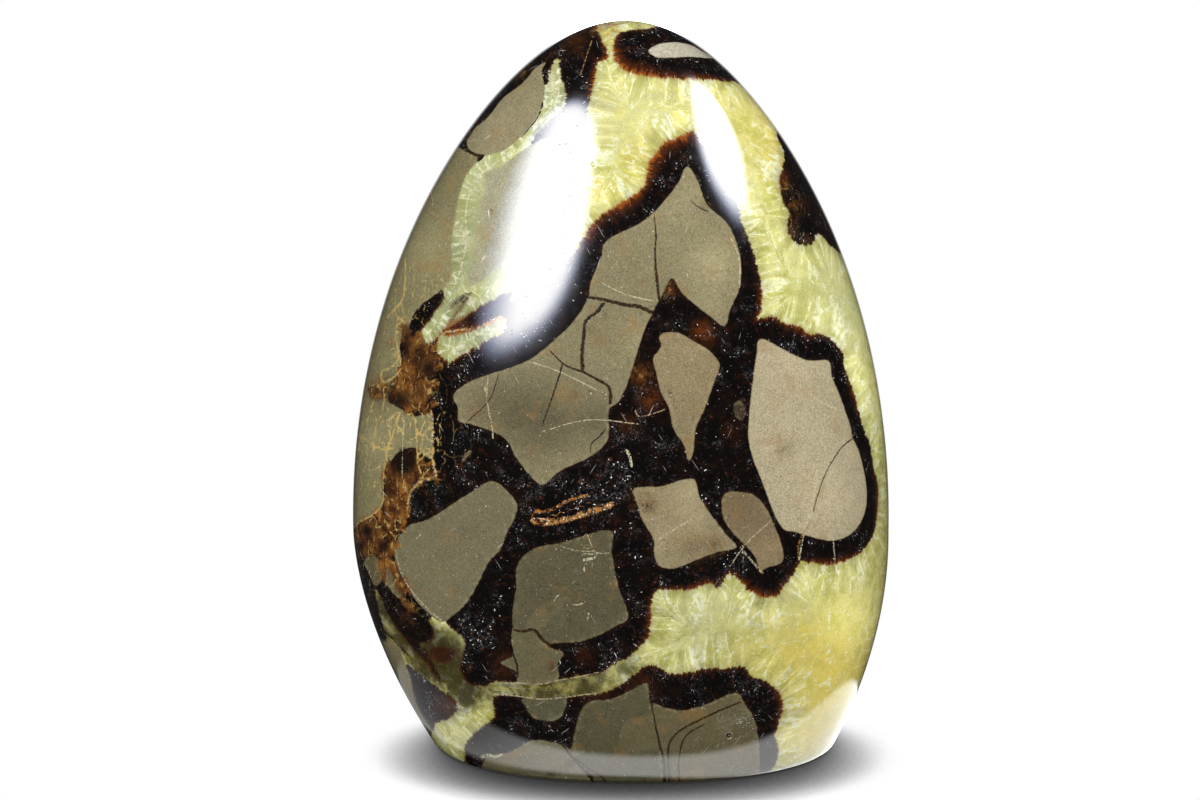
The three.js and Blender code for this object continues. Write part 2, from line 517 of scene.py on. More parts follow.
class Skin:
    # the stone's surface in millimetres, with every vertex's place in the camera's picture
    def __init__(self, mesh):
        self.count = len(mesh.vertices)
        self.points = self.read(mesh.vertices, "co", 3) * mm
        self.normals = self.read(mesh.vertex_normals, "vector", 3)
        mesh.calc_loop_triangles()
        self.triangles = self.read(mesh.loop_triangles, "vertices", 3, np.int32)
        self.edges = self.read(mesh.edges, "vertices", 2, np.int32)
        a, b, c = (self.points[self.triangles[:, corner]] for corner in range(3))
        normal = np.cross(b - a, c - a)
        doubleArea = np.linalg.norm(normal, axis=1)
        unit = normal / doubleArea[:, None]
        self.slopes = [np.cross(unit, edge) for edge in (c - b, a - c, b - a)]
        self.weight = sum(self.gather(self.triangles[:, corner], doubleArea) for corner in range(3))
        self.place, self.beyond = self.carryOn()
        self.steps = [self.gradient(self.place[:, axis]) for axis in range(2)]
        self.finder = makeFinder(np.column_stack([self.place, np.zeros(self.count)]))

    def read(self, items, name, width, kind=np.float32):
        values = np.empty(len(items) * width, kind)
        items.foreach_get(name, values)
        values = values.reshape(-1, width)
        return values if kind is np.int32 else values.astype(float)

    def gather(self, index, values):
        return np.bincount(index, values, self.count)

    def gradient(self, values):
        # which way and how fast a value grows over the surface, at every vertex
        corners = self.triangles.T
        slope = sum(way * values[corner][:, None] for corner, way in zip(corners, self.slopes))
        total = np.zeros((self.count, 3))
        for corner in corners:
            for axis in range(3):
                total[:, axis] += self.gather(corner, slope[:, axis])
        return total / self.weight[:, None]

    def carryOn(self):
        # past the silhouette the picture goes on around the edge, at the same scale
        place, eye, focal = toImage(self.points)
        self.pixel = cameraSetup["distance"] * mm / focal
        facing = ((eye - self.points) * self.normals).sum(1)
        one, other = self.edges.T
        rim = (facing[one] > 0) != (facing[other] > 0)
        one, other = one[rim], other[rim]
        share = (facing[one] / (facing[one] - facing[other]))[:, None]
        rimPoints = self.points[one] * (1 - share) + self.points[other] * share
        rimPlaces = toImage(rimPoints)[0] - figure["middle"]
        rimTurn = np.arctan2(rimPlaces[:, 1], rimPlaces[:, 0])
        order = np.argsort(rimTurn)
        offset = place - figure["middle"]
        turn = np.arctan2(offset[:, 1], offset[:, 0])

        def atTurn(values):
            return np.interp(turn, rimTurn[order], values[order], period=math.tau)

        nearest = np.stack([atTurn(rimPoints[:, axis]) for axis in range(3)], 1)
        radius = atTurn(np.hypot(*rimPlaces.T))
        ownRadius = np.hypot(*offset.T)
        past = np.linalg.norm(self.points - nearest, axis=1)
        hidden = facing <= 0
        carried = figure["middle"] + offset / ownRadius[:, None] * (radius + past / self.pixel)[:, None]
        place[hidden] = carried[hidden]
        return place, np.where(hidden, past, (ownRadius - radius) * self.pixel)

    def nearestTo(self, places):
        return np.array([self.finder.find((x, y, 0))[1] for x, y in places.tolist()])

    def lift(self, places):
        # puts points of the picture back on the stone
        near = self.nearestTo(places)
        along, down = self.steps[0][near], self.steps[1][near]
        missing = places - self.place[near]
        aa, ad, dd = (along * along).sum(1), (along * down).sum(1), (down * down).sum(1)
        scale = np.maximum(aa * dd - ad * ad, 1e-6)
        p = (missing[:, 0] * dd - missing[:, 1] * ad) / scale
        q = (missing[:, 1] * aa - missing[:, 0] * ad) / scale
        move = along * p[:, None] + down * q[:, None]
        length = np.linalg.norm(move, axis=1)[:, None]
        return self.points[near] + move * np.minimum(1, figure["liftReach"] / np.maximum(length, 1e-6))

    def nearestSegment(self, starts, ends, tries=3):
        # distance from every vertex to the nearest of many short segments, with its index and share
        finder = makeFinder((starts + ends) / 2)
        near = np.array([[hit[1] for hit in finder.find_n(point, tries)] for point in self.points.tolist()])
        best = np.full(self.count, np.inf)
        index = np.zeros(self.count, int)
        share = np.zeros(self.count)
        for pick in near.T:
            way = ends[pick] - starts[pick]
            offset = self.points - starts[pick]
            along = np.clip((offset * way).sum(1) / np.maximum((way * way).sum(1), 1e-9), 0, 1)
            gap = np.linalg.norm(offset - way * along[:, None], axis=1)
            closer = gap < best
            best[closer] = gap[closer]
            index[closer] = pick[closer]
            share[closer] = along[closer]
        return best, index, share

    def outlineField(self, outlines):
        # millimetres inside (positive) or outside (negative) the outlines, and whose outline is nearest
        paths = [smoothPath(corners, True) for corners in outlines.values()]
        inside = np.zeros(self.count, bool)
        starts, ends, owners = [], [], []
        for owner, path in enumerate(paths):
            inside |= isInside(self.place, path)
            halfway = (path + np.roll(path, -1, 0)) / 2
            keep = np.ones(len(path), bool)
            for other, cover in enumerate(paths):
                if other != owner:
                    keep &= ~isInside(halfway, cover)
            solid = self.lift(path)
            starts.append(solid[keep])
            ends.append(np.roll(solid, -1, 0)[keep])
            owners.append(np.full(keep.sum(), owner))
        distance, index, share = self.nearestSegment(np.concatenate(starts), np.concatenate(ends))
        return np.where(inside, distance, -distance), np.concatenate(owners)[index]

    def seamField(self, seams):
        # signed distance across the nearest seam, its half width there and how brown it is
        rows = []
        for corners, widthAtStart, widthAtEnd, tone in seams:
            path = smoothPath(corners, False)
            solid = self.lift(path)
            half = np.linspace(widthAtStart, widthAtEnd, len(path)) * self.pixel / 2
            side = np.cross(solid[1:] - solid[:-1], self.normals[self.nearestTo(path[:-1])])
            rows.append((solid[:-1], solid[1:], half[:-1], half[1:], side, np.full(len(path) - 1, tone)))
        starts, ends, halves, nextHalves, sides, tones = map(np.concatenate, zip(*rows))
        distance, index, share = self.nearestSegment(starts, ends)
        nearest = starts[index] * (1 - share)[:, None] + ends[index] * share[:, None]
        across = ((self.points - nearest) * sides[index]).sum(1)
        half = halves[index] * (1 - share) + nextHalves[index] * share
        # away from the line, and past its two ends, the width runs out
        straight = np.abs(across) / np.linalg.norm(sides[index], axis=1)
        pastEnd = np.sqrt(np.maximum(distance ** 2 - straight ** 2, 0))
        ended = np.where((share <= 0) | (share >= 1), pastEnd, 0)
        fading = np.minimum(half, figure["seamReach"] - distance) - 1.5 * ended
        return np.stack([np.sign(across) * np.minimum(distance, 6), np.maximum(fading, -3), tones[index]], 1)


# Blocks that nobody sees from the front. Each stands around a point, in millimetres: across, depth
# and height, with how much larger or smaller it is than its neighbours and how far it keeps off them.
# The ones that keep off by less than nothing are pools of calcite instead.
farBlocks = [
    (38, 20, 118, 0, 3.0), (8, 30, 122, 2, 3.5), (-24, 24, 112, 0, 3.0), (54, 4, 84, 0, 4.5),
    (26, 32, 88, 2, -4.0), (-12, 33, 86, 0, 3.2), (-42, 24, 82, 1, 3.0), (50, 18, 52, 1, 5.5),
    (14, 34, 56, 1, 3.0), (-22, 33, 52, 2, 4.0), (-52, 14, 48, 0, 3.0), (40, 26, 22, 0, 4.5),
    (6, 32, 20, 1, 3.0), (-30, 28, 18, 1, -3.5), (-48, 8, 22, -1, 2.6), (10, 10, 147, -2, 3.0),
    (-14, 8, 140, -1, 2.6), (20, 6, 0, 0, 4.0), (-16, 4, 0, 0, 3.4), (4, -20, 0, -2, 3.0),
    (-55, -4, 70, -1, 2.4),
]
farTints = [(126, 118, 92), (108, 101, 78), (134, 124, 98), (118, 112, 84), (101, 95, 72)]
farRules = {                    # millimetres, and millimetres past the silhouette
    "blocksStart": 13.0,
    "calciteStarts": 3.5,
    "rustStarts": 8.0,
    "tintsStart": 8.0,
    "slowWave": 12.0,           # the blocks' front edge wanders by two waves
    "quickWave": 5.0,
    "calciteWave": 12.0,
    "rustWave": 16.0,
    "waveAtMost": 3.0,
    "keepsOffFront": 4.6,
    "roundness": 2.2,
    "warp": 5.0,                # how crooked the blocks are
    "fineWarp": 1.4,
    "warpScale": 0.045,
    "fineWarpScale": 0.1575,
    "wanderScale": 0.05,
    "rimWidth": 4.4,            # dark lining between a block and the calcite
    "rimWander": 3.6,
    "rustReach": 1.6,           # how far rust goes from a vein into a block
    "rustWander": 8.0,
    "rustSwing": 26.0,
    "rustNeeds": 10.5,          # a higher value leaves fewer rusty places
}


def wander(points, scale, seed):
    noise.seed_set(seed)
    return np.array([noise.noise_vector(Vector(point) * scale) for point in points.tolist()])


def softMin(a, b, roundness):
    share = np.clip(0.5 + 0.5 * (b - a) / roundness, 0, 1)
    return b * (1 - share) + a * share - roundness * share * (1 - share)


def farField(skin, frontMud):
    # cells around the far points, with straight sides that are warped and rounded off
    rules = farRules
    warped = skin.points + wander(skin.points, rules["warpScale"], 1) * rules["warp"]
    warped = warped + wander(skin.points, rules["fineWarpScale"], 2) * rules["fineWarp"]
    seeds = np.array([row[:3] for row in farBlocks], float)
    size = np.array([row[3] for row in farBlocks], float)
    gap = np.array([row[4] for row in farBlocks], float)
    reach = np.linalg.norm(warped[:, None] - seeds[None], axis=2) - size[None]
    owner = reach.argmin(1)
    own = reach.min(1)
    farAway = 40.0
    field = np.full(skin.count, farAway)
    for other in range(len(seeds)):
        apart = np.linalg.norm(seeds[owner] - seeds[other], axis=1)
        sideways = (reach[:, other] ** 2 - own ** 2) / (2 * np.maximum(apart, 1))
        field = softMin(field, np.where(owner == other, farAway, sideways), rules["roundness"])
    field = np.where(gap[owner] > 0, field - gap[owner], -field + gap[owner])
    wave = wander(skin.points, 0.06, 3)[:, 0] * rules["slowWave"]
    wave = wave + wander(skin.points, 0.16, 5)[:, 0] * rules["quickWave"]
    edge = skin.beyond - rules["blocksStart"] + np.minimum(wave, rules["waveAtMost"])
    field = softMin(field, edge, rules["roundness"])
    return softMin(field, -frontMud - rules["keepsOffFront"], rules["roundness"]), owner


# Cracks and hairlines: corners, width at the start and the end in picture points, and how brown
# (1) or black (0) they are. Seams that meet or cross are in different layers, and one pale stroke at the
#     foot is a painted glare.
stoneSeams = {
    "darkSeam": [
        ([(654, 214), (656, 235), (655, 255), (659, 301)], 1, 3, 0.2),
        ([(587, 297), (605, 300), (625, 305), (640, 307), (653, 313)], 3, 4, 0.35),
        ([(550, 351), (565, 365), (583, 372), (596, 379), (608, 386), (611, 394), (610, 404)], 1.2, 3.4,
          0.35),
        ([(499, 373), (490, 399), (467, 422)], 1, 1, 0.9),
        ([(606, 428), (600, 436), (591, 444), (590, 454)], 1.6, 0.8, 0.3),
        ([(690, 200), (698, 207), (708, 212)], 0.9, 1.4, 0.5),
        ([(853, 438), (842, 447), (829, 467), (821, 485), (813, 513)], 1.4, 1, 0.4),
        ([(651, 702), (660, 746), (664, 761), (664, 850)], 1.2, 5, 0.3),
        ([(704, 724), (686, 736), (680, 751), (679, 781), (682, 830)], 1.6, 2.2, 0.9),
        ([(562, 744), (584, 771), (594, 783), (610, 850)], 2.4, 3.4, 0.6),
        ([(465, 143), (469, 151), (476, 155), (484, 156)], 2.2, 3, 0.2),
        ([(543, 101), (541, 110), (535, 121), (521, 138)], 2.4, 1.2, 0.8),
        ([(513, 630), (524, 631), (534, 630), (543, 640), (552, 647)], 2.4, 4, 0.7),
        ([(607, 21), (590, 28), (570, 42), (546, 59)], 5, 5, 0.9),
        ([(355, 543), (360, 572), (374, 619), (390, 636), (408, 655)], 7, 2.5, 0.1),
    ],
    "crossSeam": [
        ([(605, 302), (596, 313), (586, 321), (584, 338), (582, 355), (583, 371)], 3.6, 3.6, 0.3),
        ([(563, 362), (558, 380), (542, 426)], 2, 1, 0.5),
        ([(741, 702), (721, 710), (700, 720), (684, 728), (670, 742), (669, 781), (670, 830)], 2.2, 2.2,
          0.9),
        ([(568, 753), (590, 769), (606, 782), (625, 840)], 1.8, 2, 0.8),
        ([(513, 653), (517, 665), (518, 678)], 2, 2, 0.5),
        ([(424, 649), (431, 664), (440, 679)], 7, 5, 0.6),
        ([(535, 60), (520, 72), (482, 117), (465, 142)], 5, 5, 0.2),
        ([(666, 409), (636, 417)], 2, 2, 0.2),
    ],
    "paleSeam": [
        ([(429, 210), (455, 230), (464, 239), (470, 242), (476, 255), (489, 265), (499, 273)], 1.4, 1, 0.8),
        ([(829, 372), (822, 442), (817, 468), (813, 494), (811, 519)], 1.2, 1.2, 0.3),
        ([(656, 541), (693, 518)], 1, 1, 0.2),
        ([(601, 283), (628, 295), (653, 301)], 1, 1, 0.1),
        ([(731, 238), (738, 254), (740, 271), (739, 289)], 1.6, 1.4, 0.3),
        ([(740, 547), (763, 574)], 1.4, 2.2, 0.4),
        ([(635, 409), (638, 416), (652, 414), (666, 409)], 1, 0.8, 0.7),
        ([(625, 449), (629, 455), (632, 467)], 3, 2, 0.1),
        ([(772, 520), (745, 545), (729, 568)], 1, 1, 0.3),
        ([(592, 40), (580, 76)], 1.2, 1, 0.9),
        ([(549, 70), (552, 95), (540, 112)], 2.4, 1.6, 0.2),
        ([(560, 76), (556, 100), (540, 120), (521, 146), (494, 164), (474, 182), (466, 210), (466, 240),
          (461, 268), (449, 298)], 1.6, 1.4, 0),
        ([(395, 549), (401, 572), (411, 590), (428, 609), (443, 622)], 1.2, 2, 0.45),
        ([(583, 560), (595, 558)], 2.4, 2, 0),
        ([(584, 566), (584, 573)], 1.8, 1.2, 0),
        ([(572, 604), (579, 605), (586, 601)], 1, 1.2, 0.1),
        ([(589, 612), (587, 621)], 1.3, 0.9, 0.1),
        ([(553, 602), (560, 593)], 1, 1.2, 0.1),
        ([(587, 534), (596, 552), (611, 553)], 0.7, 0.7, 0.3),
        ([(560, 546), (573, 550), (596, 552)], 0.8, 0.8, 0.3),
        ([(488, 375), (487, 405), (492, 425), (493, 440)], 0.8, 1.2, 0.3),
        ([(405, 415), (403, 435), (402, 479)], 0.9, 0.9, 0.2),
        ([(484, 387), (489, 410)], 0.8, 0.8, 0.4),
        ([(818, 478), (812, 505), (803, 538), (799, 560)], 2, 1.6, 0.15),
    ],
    "palerSeam": [
        ([(431, 188), (433, 206)], 1, 1, 0.2),
        ([(822, 442), (827, 456), (830, 519)], 1.2, 1, 0.3),
        ([(810, 393), (821, 402), (841, 410)], 1, 1, 0.1),
        ([(811, 520), (799, 543), (798, 559)], 1.6, 1.8, 1),
        ([(833, 536), (835, 563)], 1.4, 1.6, 0.3),
        ([(607, 395), (560, 372), (528, 361)], 0.9, 0.9, 0.2),
        ([(640, 424), (588, 420), (540, 432)], 0.8, 0.8, 0.1),
        ([(476, 300), (452, 288), (438, 276)], 1, 1.4, 0.5),
        # a painted glare on the foot: a painted highlight drawn as a short pale stroke, not a hairline
        ([(482, 757), (488, 755), (495, 757), (503, 754)], 4, 2, 0),
        ([(489, 684), (517, 683), (541, 684), (560, 680), (578, 677), (600, 672)], 1, 0.8, 0.4),
        ([(492, 694), (517, 696), (541, 699), (599, 693)], 1.3, 0.9, 0.3),
    ],
    "goldSeam": [
        ([(532, 521), (545, 523), (564, 520), (587, 513), (604, 508), (614, 503)], 6, 5, 0.8),
        ([(534, 512), (550, 510), (570, 500), (590, 495)], 3, 2, 1),
        ([(405, 258), (405, 284), (402, 300), (394, 309), (387, 318)], 3, 1.8, 0.15),
        ([(394, 309), (398, 318), (407, 323)], 2, 1.4, 0.2),
        ([(398, 318), (396, 330), (397, 345), (400, 360), (401, 373)], 2, 1.6, 0.15),
        ([(391, 352), (397, 360), (390, 368), (381, 372), (384, 382), (393, 378), (401, 369)], 1.3, 1.3,
          0.1),
        ([(383, 387), (384, 399), (382, 415)], 1.6, 1, 0.3),
        ([(398, 412), (386, 423), (391, 427), (397, 416)], 1.1, 1.1, 0.1),
        ([(377, 424), (372, 447)], 1, 1, 0.1),
        ([(357, 454), (362, 438), (373, 445), (384, 450), (394, 448)], 1.1, 1.5, 0.1),
        ([(400, 412), (391, 440), (386, 451), (388, 462)], 1.8, 1.8, 0.1),
        ([(415, 418), (417, 441), (418, 464), (421, 474)], 1.7, 1.7, 0.15),
        ([(431, 410), (433, 433), (433, 464), (437, 478)], 2.4, 2.8, 0.4),
        ([(420, 453), (425, 432), (431, 428)], 1, 1, 0.1),
        ([(420, 461), (427, 453), (432, 461)], 1, 1, 0.1),
        ([(386, 458), (383, 479), (382, 504), (372, 515), (361, 521), (356, 526)], 1.4, 1.6, 0.15),
        ([(437, 478), (424, 480), (412, 490), (407, 504)], 3, 2, 0.3),
        ([(380, 326), (373, 352), (367, 380)], 0.8, 0.8, 0.2),
        ([(443, 333), (460, 330), (480, 327), (502, 317)], 2.2, 3, 0.6),
        ([(603, 22), (612, 25), (628, 22)], 4, 3, 0.9),
    ],
}


# Soft spots: place in the picture, radius and strength.
paintedSpots = {
    "amber": [(655, 160, 26, 1), (642, 72, 18, 0.9), (628, 203, 24, 0.9), (598, 236, 22, 0.8),
        (580, 272, 20, 0.5), (684, 140, 18, 0.7), (560, 305, 20, 0.3), (762, 300, 24, 0.4),
        (800, 332, 30, 0.5), (850, 395, 24, 0.4), (874, 500, 30, 0.5), (835, 563, 30, 0.5),
        (765, 597, 34, 0.6), (700, 592, 34, 0.4), (700, 672, 50, 0.2), (780, 705, 24, 0.5),
        (654, 625, 26, 0.4), (616, 60, 18, 0.8), (680, 82, 50, 0.6), (597, 85, 18, 0.6),
        (520, 330, 26, 0.2), (425, 350, 30, 0.3), (458, 334, 20, 0.8), (490, 320, 16, 0.5),
        (578, 522, 40, 0.5), (655, 400, 24, 0.8), (782, 180, 10, 0.5)],
    "gold": [(800, 150, 50, 0.7), (770, 110, 40, 0.35), (860, 620, 46, 0.35), (845, 690, 54, 1),
        (825, 740, 50, 0.8), (800, 640, 34, 0.8), (750, 650, 34, 0.5), (612, 105, 26, 0.4),
        (700, 110, 60, 0.3), (884, 540, 26, 0.4), (640, 160, 24, 0.6), (600, 190, 20, 0.5),
        (560, 690, 60, 0.7), (785, 160, 20, 0.5), (612, 32, 16, 0.8), (410, 650, 30, 0.8)],
    # milky calcite and white crystals, and also where the painted glints gather
    "milk": [(640, 120, 36, 0.5), (604, 100, 26, 0.5), (866, 330, 40, 0.4), (845, 290, 40, 0.4),
        (720, 610, 30, 0.5), (700, 610, 24, 0.5), (790, 620, 34, 0.4), (500, 180, 30, 0.4),
        (466, 240, 14, 0.9), (820, 262, 26, 0.4), (880, 420, 26, 0.5), (478, 640, 18, 1), (614, 668, 14, 1),
        (470, 345, 24, 0.5), (670, 100, 30, 0.4), (805, 590, 20, 0.5), (743, 722, 15, 1),
        (722, 725, 12, 0.6), (590, 560, 8, 0.6), (540, 480, 26, 0.5), (600, 500, 30, 0.6),
        (640, 470, 26, 0.4), (445, 700, 26, 0.4)],
    "green": [(480, 160, 50, 0.8), (458, 250, 50, 0.9), (440, 310, 30, 0.9), (830, 300, 40, 0.3),
        (700, 612, 50, 0.3), (560, 90, 40, 0.8), (545, 120, 30, 0.8), (470, 345, 40, 0.8),
        (500, 240, 40, 0.8), (530, 250, 30, 0.8), (440, 640, 20, 0.4)],
    # the smallest rust spots at the pinholes darken their hollows, partly rust and partly painted shade
    "rust": [(610, 27, 9, 0.9), (598, 30, 7, 0.7), (520, 70, 9, 0.5), (640, 22, 8, 0.5), (389, 390, 16, 1),
        (715, 545, 9, 0.8), (783, 450, 12, 0.5), (575, 395, 5, 0.5), (491, 212, 4, 0.6),
        (640, 500, 10, 0.5), (474, 412, 9, 0.5), (600, 340, 6, 0.6), (648, 507, 8, 0.5), (590, 392, 3, 0.7),
        (670, 394, 3, 0.8), (705, 205, 8, 0.4), (592, 329, 5, 0.6), (606, 318, 5, 0.4), (640, 375, 12, 0.4),
        (672, 290, 8, 0.5), (440, 654, 12, 1), (366, 529, 12, 1), (406, 620, 9, 0.8), (412, 648, 9, 0.6),
        (380, 390, 12, 0.9), (391, 343, 5, 0.8), (549, 609, 5, 0.5), (570, 622, 3, 0.7), (551, 662, 5, 0.6),
        (783, 185, 8, 0.8), (788, 222, 6, 0.6), (692, 548, 12, 0.5), (650, 506, 7, 0.6), (553, 668, 6, 0.7),
        (729, 736, 4, 1), (796, 205, 9, 0.7), (790, 232, 8, 0.5), (808, 240, 6, 0.5)],
    "net": [(400, 290, 34, 0.9), (385, 430, 50, 1), (420, 440, 26, 0.8), (365, 480, 34, 0.6),
        (400, 350, 30, 0.8), (372, 560, 24, 0.5), (395, 590, 26, 0.5), (410, 640, 30, 0.4)],
    # glow: above nothing, painted light on the calcite; below nothing, painted shade on the calcite where
    # the light falls off, the calcite's own darker olive places, and the dark spots in the rust
    "glow": [(870, 380, 60, 0.3), (850, 300, 50, 0.14), (850, 625, 36, 0.5), (845, 690, 36, 0.24),
        (765, 120, 30, 0.25), (620, 100, 44, -0.06), (640, 155, 26, -0.16), (602, 160, 30, -0.18),
        (692, 636, 68, -0.34), (740, 640, 50, -0.1), (784, 692, 16, -0.2), (770, 602, 16, -0.2),
        (800, 640, 34, -0.06), (640, 130, 60, -0.06), (806, 755, 30, 0.14), (540, 690, 36, -0.9),
        (590, 684, 30, -0.7), (628, 668, 22, -0.5), (500, 690, 20, -0.4), (470, 200, 40, -0.2),
        (462, 255, 40, -0.32), (450, 300, 26, -0.25), (455, 665, 30, -0.75), (462, 700, 26, -0.65),
        (440, 640, 24, -0.6), (475, 690, 16, -0.3), (400, 635, 30, -0.9), (385, 603, 18, -0.9),
        (425, 668, 20, -0.7), (470, 345, 30, -0.25), (490, 310, 26, -0.2), (452, 745, 18, 0.1),
        (427, 368, 11, -0.9), (399, 399, 12, -0.9), (402, 346, 9, -0.8), (407, 329, 8, -0.6),
        (367, 531, 9, -1), (384, 546, 7, -1), (361, 546, 7, -0.9), (403, 460, 17, -1.5),
        (388, 495, 7, -0.6), (415, 350, 12, -0.5), (420, 393, 12, -0.5), (615, 26, 14, -0.2)],
    "window": [(832, 214, 12, 0.35), (784, 176, 6, 0.6), (440, 655, 12, 1), (575, 40, 12, 0.5),
        (650, 400, 11, 1), (641, 375, 9, 0.8), (668, 286, 8, 1), (705, 333, 12, 0.8), (627, 425, 9, 0.6),
        (505, 665, 14, 0.4), (600, 700, 16, 0.3), (640, 688, 16, 0.4), (700, 330, 10, 0.4),
        (585, 655, 10, 0.3), (655, 530, 8, 0.7), (730, 430, 8, 0.3), (432, 665, 10, 0.6),
        (448, 705, 14, 0.6)],
    "soft": [(400, 640, 30, 0.5), (560, 690, 40, 0.1), (610, 675, 26, 0.2), (800, 200, 30, 0.35),
        (492, 190, 34, 0.8), (470, 240, 34, 0.7), (455, 290, 26, 0.5), (540, 110, 20, 0.4),
        (452, 655, 30, 0.45), (470, 720, 24, 0.4), (455, 320, 20, 0.4), (500, 240, 26, 0.6),
        (540, 180, 34, 0.5), (530, 250, 24, 0.4)],
    # light: painted light and shade on the mudstone, with some paler clouds of its own
    "light": [(690, 195, 30, 0.3), (715, 262, 30, 0.62), (810, 440, 60, 0.1), (655, 225, 30, 0.15),
        (545, 425, 44, -0.46), (500, 405, 36, -0.3), (600, 420, 26, -0.3), (560, 462, 24, 0.1),
        (710, 305, 20, 0.2), (830, 500, 40, 0.2), (766, 550, 16, 0.35), (742, 506, 16, -0.2),
        (800, 360, 30, 0.16), (690, 350, 20, 0.12), (690, 420, 18, -0.12), (430, 575, 36, 0.05),
        (480, 530, 36, -0.04), (492, 125, 30, 0.15), (640, 340, 20, 0.2), (690, 495, 20, 0.45),
        (672, 525, 26, 0.12), (650, 545, 20, 0.2), (620, 690, 30, 0.1), (425, 250, 30, 0.3),
        (372, 440, 24, 0.35), (700, 520, 12, 0.2)],
}


def linear(tint):
    # display red, green and blue from 0 to 255 as Blender's own colour values
    share = np.array(tint, float) / 255
    return np.where(share <= 0.04045, share / 12.92, ((share + 0.055) / 1.055) ** 2.4)


def store(mesh, name, values):
    width = 1 if values.ndim == 1 else values.shape[1]
    kind, key = {1: ("FLOAT", "value"), 3: ("FLOAT_VECTOR", "vector"), 4: ("FLOAT_COLOR", "color")}[width]
    layer = mesh.attributes.new(name, kind, "POINT")
    layer.data.foreach_set(key, np.ascontiguousarray(values, np.float32).ravel())


def spots(skin, name):
    # soft spots added together, from -1 to 1
    total = np.zeros(skin.count)
    for x, y, radius, strength in paintedSpots[name]:
        away = ((skin.place - (x, y)) ** 2).sum(1) / radius ** 2
        total += strength * np.exp(-away * figure["spotFall"])
    return np.clip(total, -1, 1)


def wallOf(skin, field):
    # the nearest point of a field's edge, as a place for crystals to grow from
    slope = skin.gradient(field)
    return skin.points - field[:, None] * slope / np.maximum((slope ** 2).sum(1), 0.35)[:, None]


def markStone(mesh):
    # works out the whole figure and stores it on the mesh for the material
    skin = Skin(mesh)
    rules = farRules
    frontMud, frontOwner = skin.outlineField(mudBlocks)
    far, farOwner = farField(skin, frontMud)
    mud = np.maximum(frontMud, far)
    one, two, three = wander(skin.points, rules["wanderScale"], 4).T
    rim = rules["rimWidth"] + one * rules["rimWander"]
    front, islands, rust = (skin.outlineField(outlines)[0]
                            for outlines in (calciteFields, calciteIslands, rustPatches))
    wave = np.minimum(two * rules["calciteWave"], rules["waveAtMost"])
    openSide = skin.beyond - rules["calciteStarts"] + wave
    calcite = np.maximum(np.minimum(front, -islands), np.minimum(-mud - rim, openSide))
    calcite = np.minimum(calcite, -far - rim * 0.9)
    wave = np.minimum(one * rules["rustWave"], rules["waveAtMost"])
    rustSide = skin.beyond - rules["rustStarts"] + wave
    alongVeins = rules["rustReach"] + two * rules["rustWander"] - mud
    farRust = np.minimum(np.minimum(rustSide, alongVeins), three * rules["rustSwing"] - rules["rustNeeds"])
    store(mesh, "edges", np.stack([mud, calcite, np.maximum(rust, farRust)], 1))
    store(mesh, "mudWall", wallOf(skin, mud))
    store(mesh, "calciteWall", wallOf(skin, calcite))
    print("blocks and calcite drawn")

    tints = np.array([linear(blockTints[name]) for name in mudBlocks])
    farColours = np.array([linear(farTints[index % len(farTints)]) for index in range(len(farBlocks))])
    tint = np.where((frontMud >= far)[:, None], tints[frontOwner], farColours[farOwner])
    store(mesh, "blockTint", np.column_stack([tint, np.ones(skin.count)]))
    hidden = np.clip(skin.beyond / rules["tintsStart"], 0, 1)
    paint = {name: spots(skin, name) for name in paintedSpots}
    for name, least, wave in (("amber", 0.45, one), ("gold", 0.25, two), ("milk", 0.25, three)):
        paint[name] = np.maximum(paint[name], hidden * (least + wave))
    # the light spots paint light and shade; a random tone is added on the hidden side
    store(mesh, "light", paint["light"] + hidden * two * 0.5)
    for layer, names in (("rimPaint", ("amber", "rust", "net")), ("calcitePaint", ("gold", "milk", "green")),
                         ("bodyPaint", ("glow", "window", "soft"))):
        store(mesh, layer, np.stack([paint[name] for name in names], 1))
    for name, seams in stoneSeams.items():
        store(mesh, name, skin.seamField(seams))
    print("seams and tints drawn")


# Shader helpers
def cellsOf(vector, scale, feature="F1"):
    return outputsOf(addNode("ShaderNodeTexVoronoi", vector, None, scale, feature=feature))


def vectorOf(operation, *values, tree=None):
    return Link(addNode("ShaderNodeVectorMath", *values, tree=tree, operation=operation).outputs[0])


def scaled(vector, factor):
    return vectorOf("SCALE", vector, None, None, factor)


def pushOf(vector, scale, amount):
    # a vector pattern moved about by a slow noise
    shift = vectorOf("SUBTRACT", noiseOf(vector, scale, 1.0, output="Color"), (0.5, 0.5, 0.5))
    return vectorOf("ADD", vector, scaled(shift, amount))


def asColour(value):
    # a finish by its name, or display red, green and blue, as a colour input takes it
    if isinstance(value, str):
        value = stoneFinish[value]
    return (*linear(value), 1.0) if isinstance(value, tuple) and len(value) == 3 else value


def mix(share, one, other, way="MIX"):
    values = [share] + [None] * 5 + [asColour(one), asColour(other)]
    return Link(addNode("ShaderNodeMix", *values, data_type="RGBA", blend_type=way).outputs[2])


def shaded(base, share):
    # the base colour made darker or lighter; 1 leaves it as it is
    if isinstance(share, Link):
        grey = Link(addNode("ShaderNodeCombineColor", share, share, share).outputs[0])
    else:
        grey = (share, share, share, 1.0)
    return mix(1.0, base, grey, "MULTIPLY")


def coat(base, *layers):
    # lays finishes over a base colour in turn, each with its share
    for share, finish in layers:
        base = mix(share, base, finish)
    return base


def sprinkle(base, specks, *rows):
    # each row colours the specks of one size whose chance lies between two limits
    for name, low, high, amount, finish in rows:
        dots = specks[name]
        picked = calc("GREATER_THAN", dots["Chance"], low) * calc("LESS_THAN", dots["Chance"], high)
        base = mix(dots["Dot"] * picked * (dots["Bright"] * amount), base, finish)
    return base


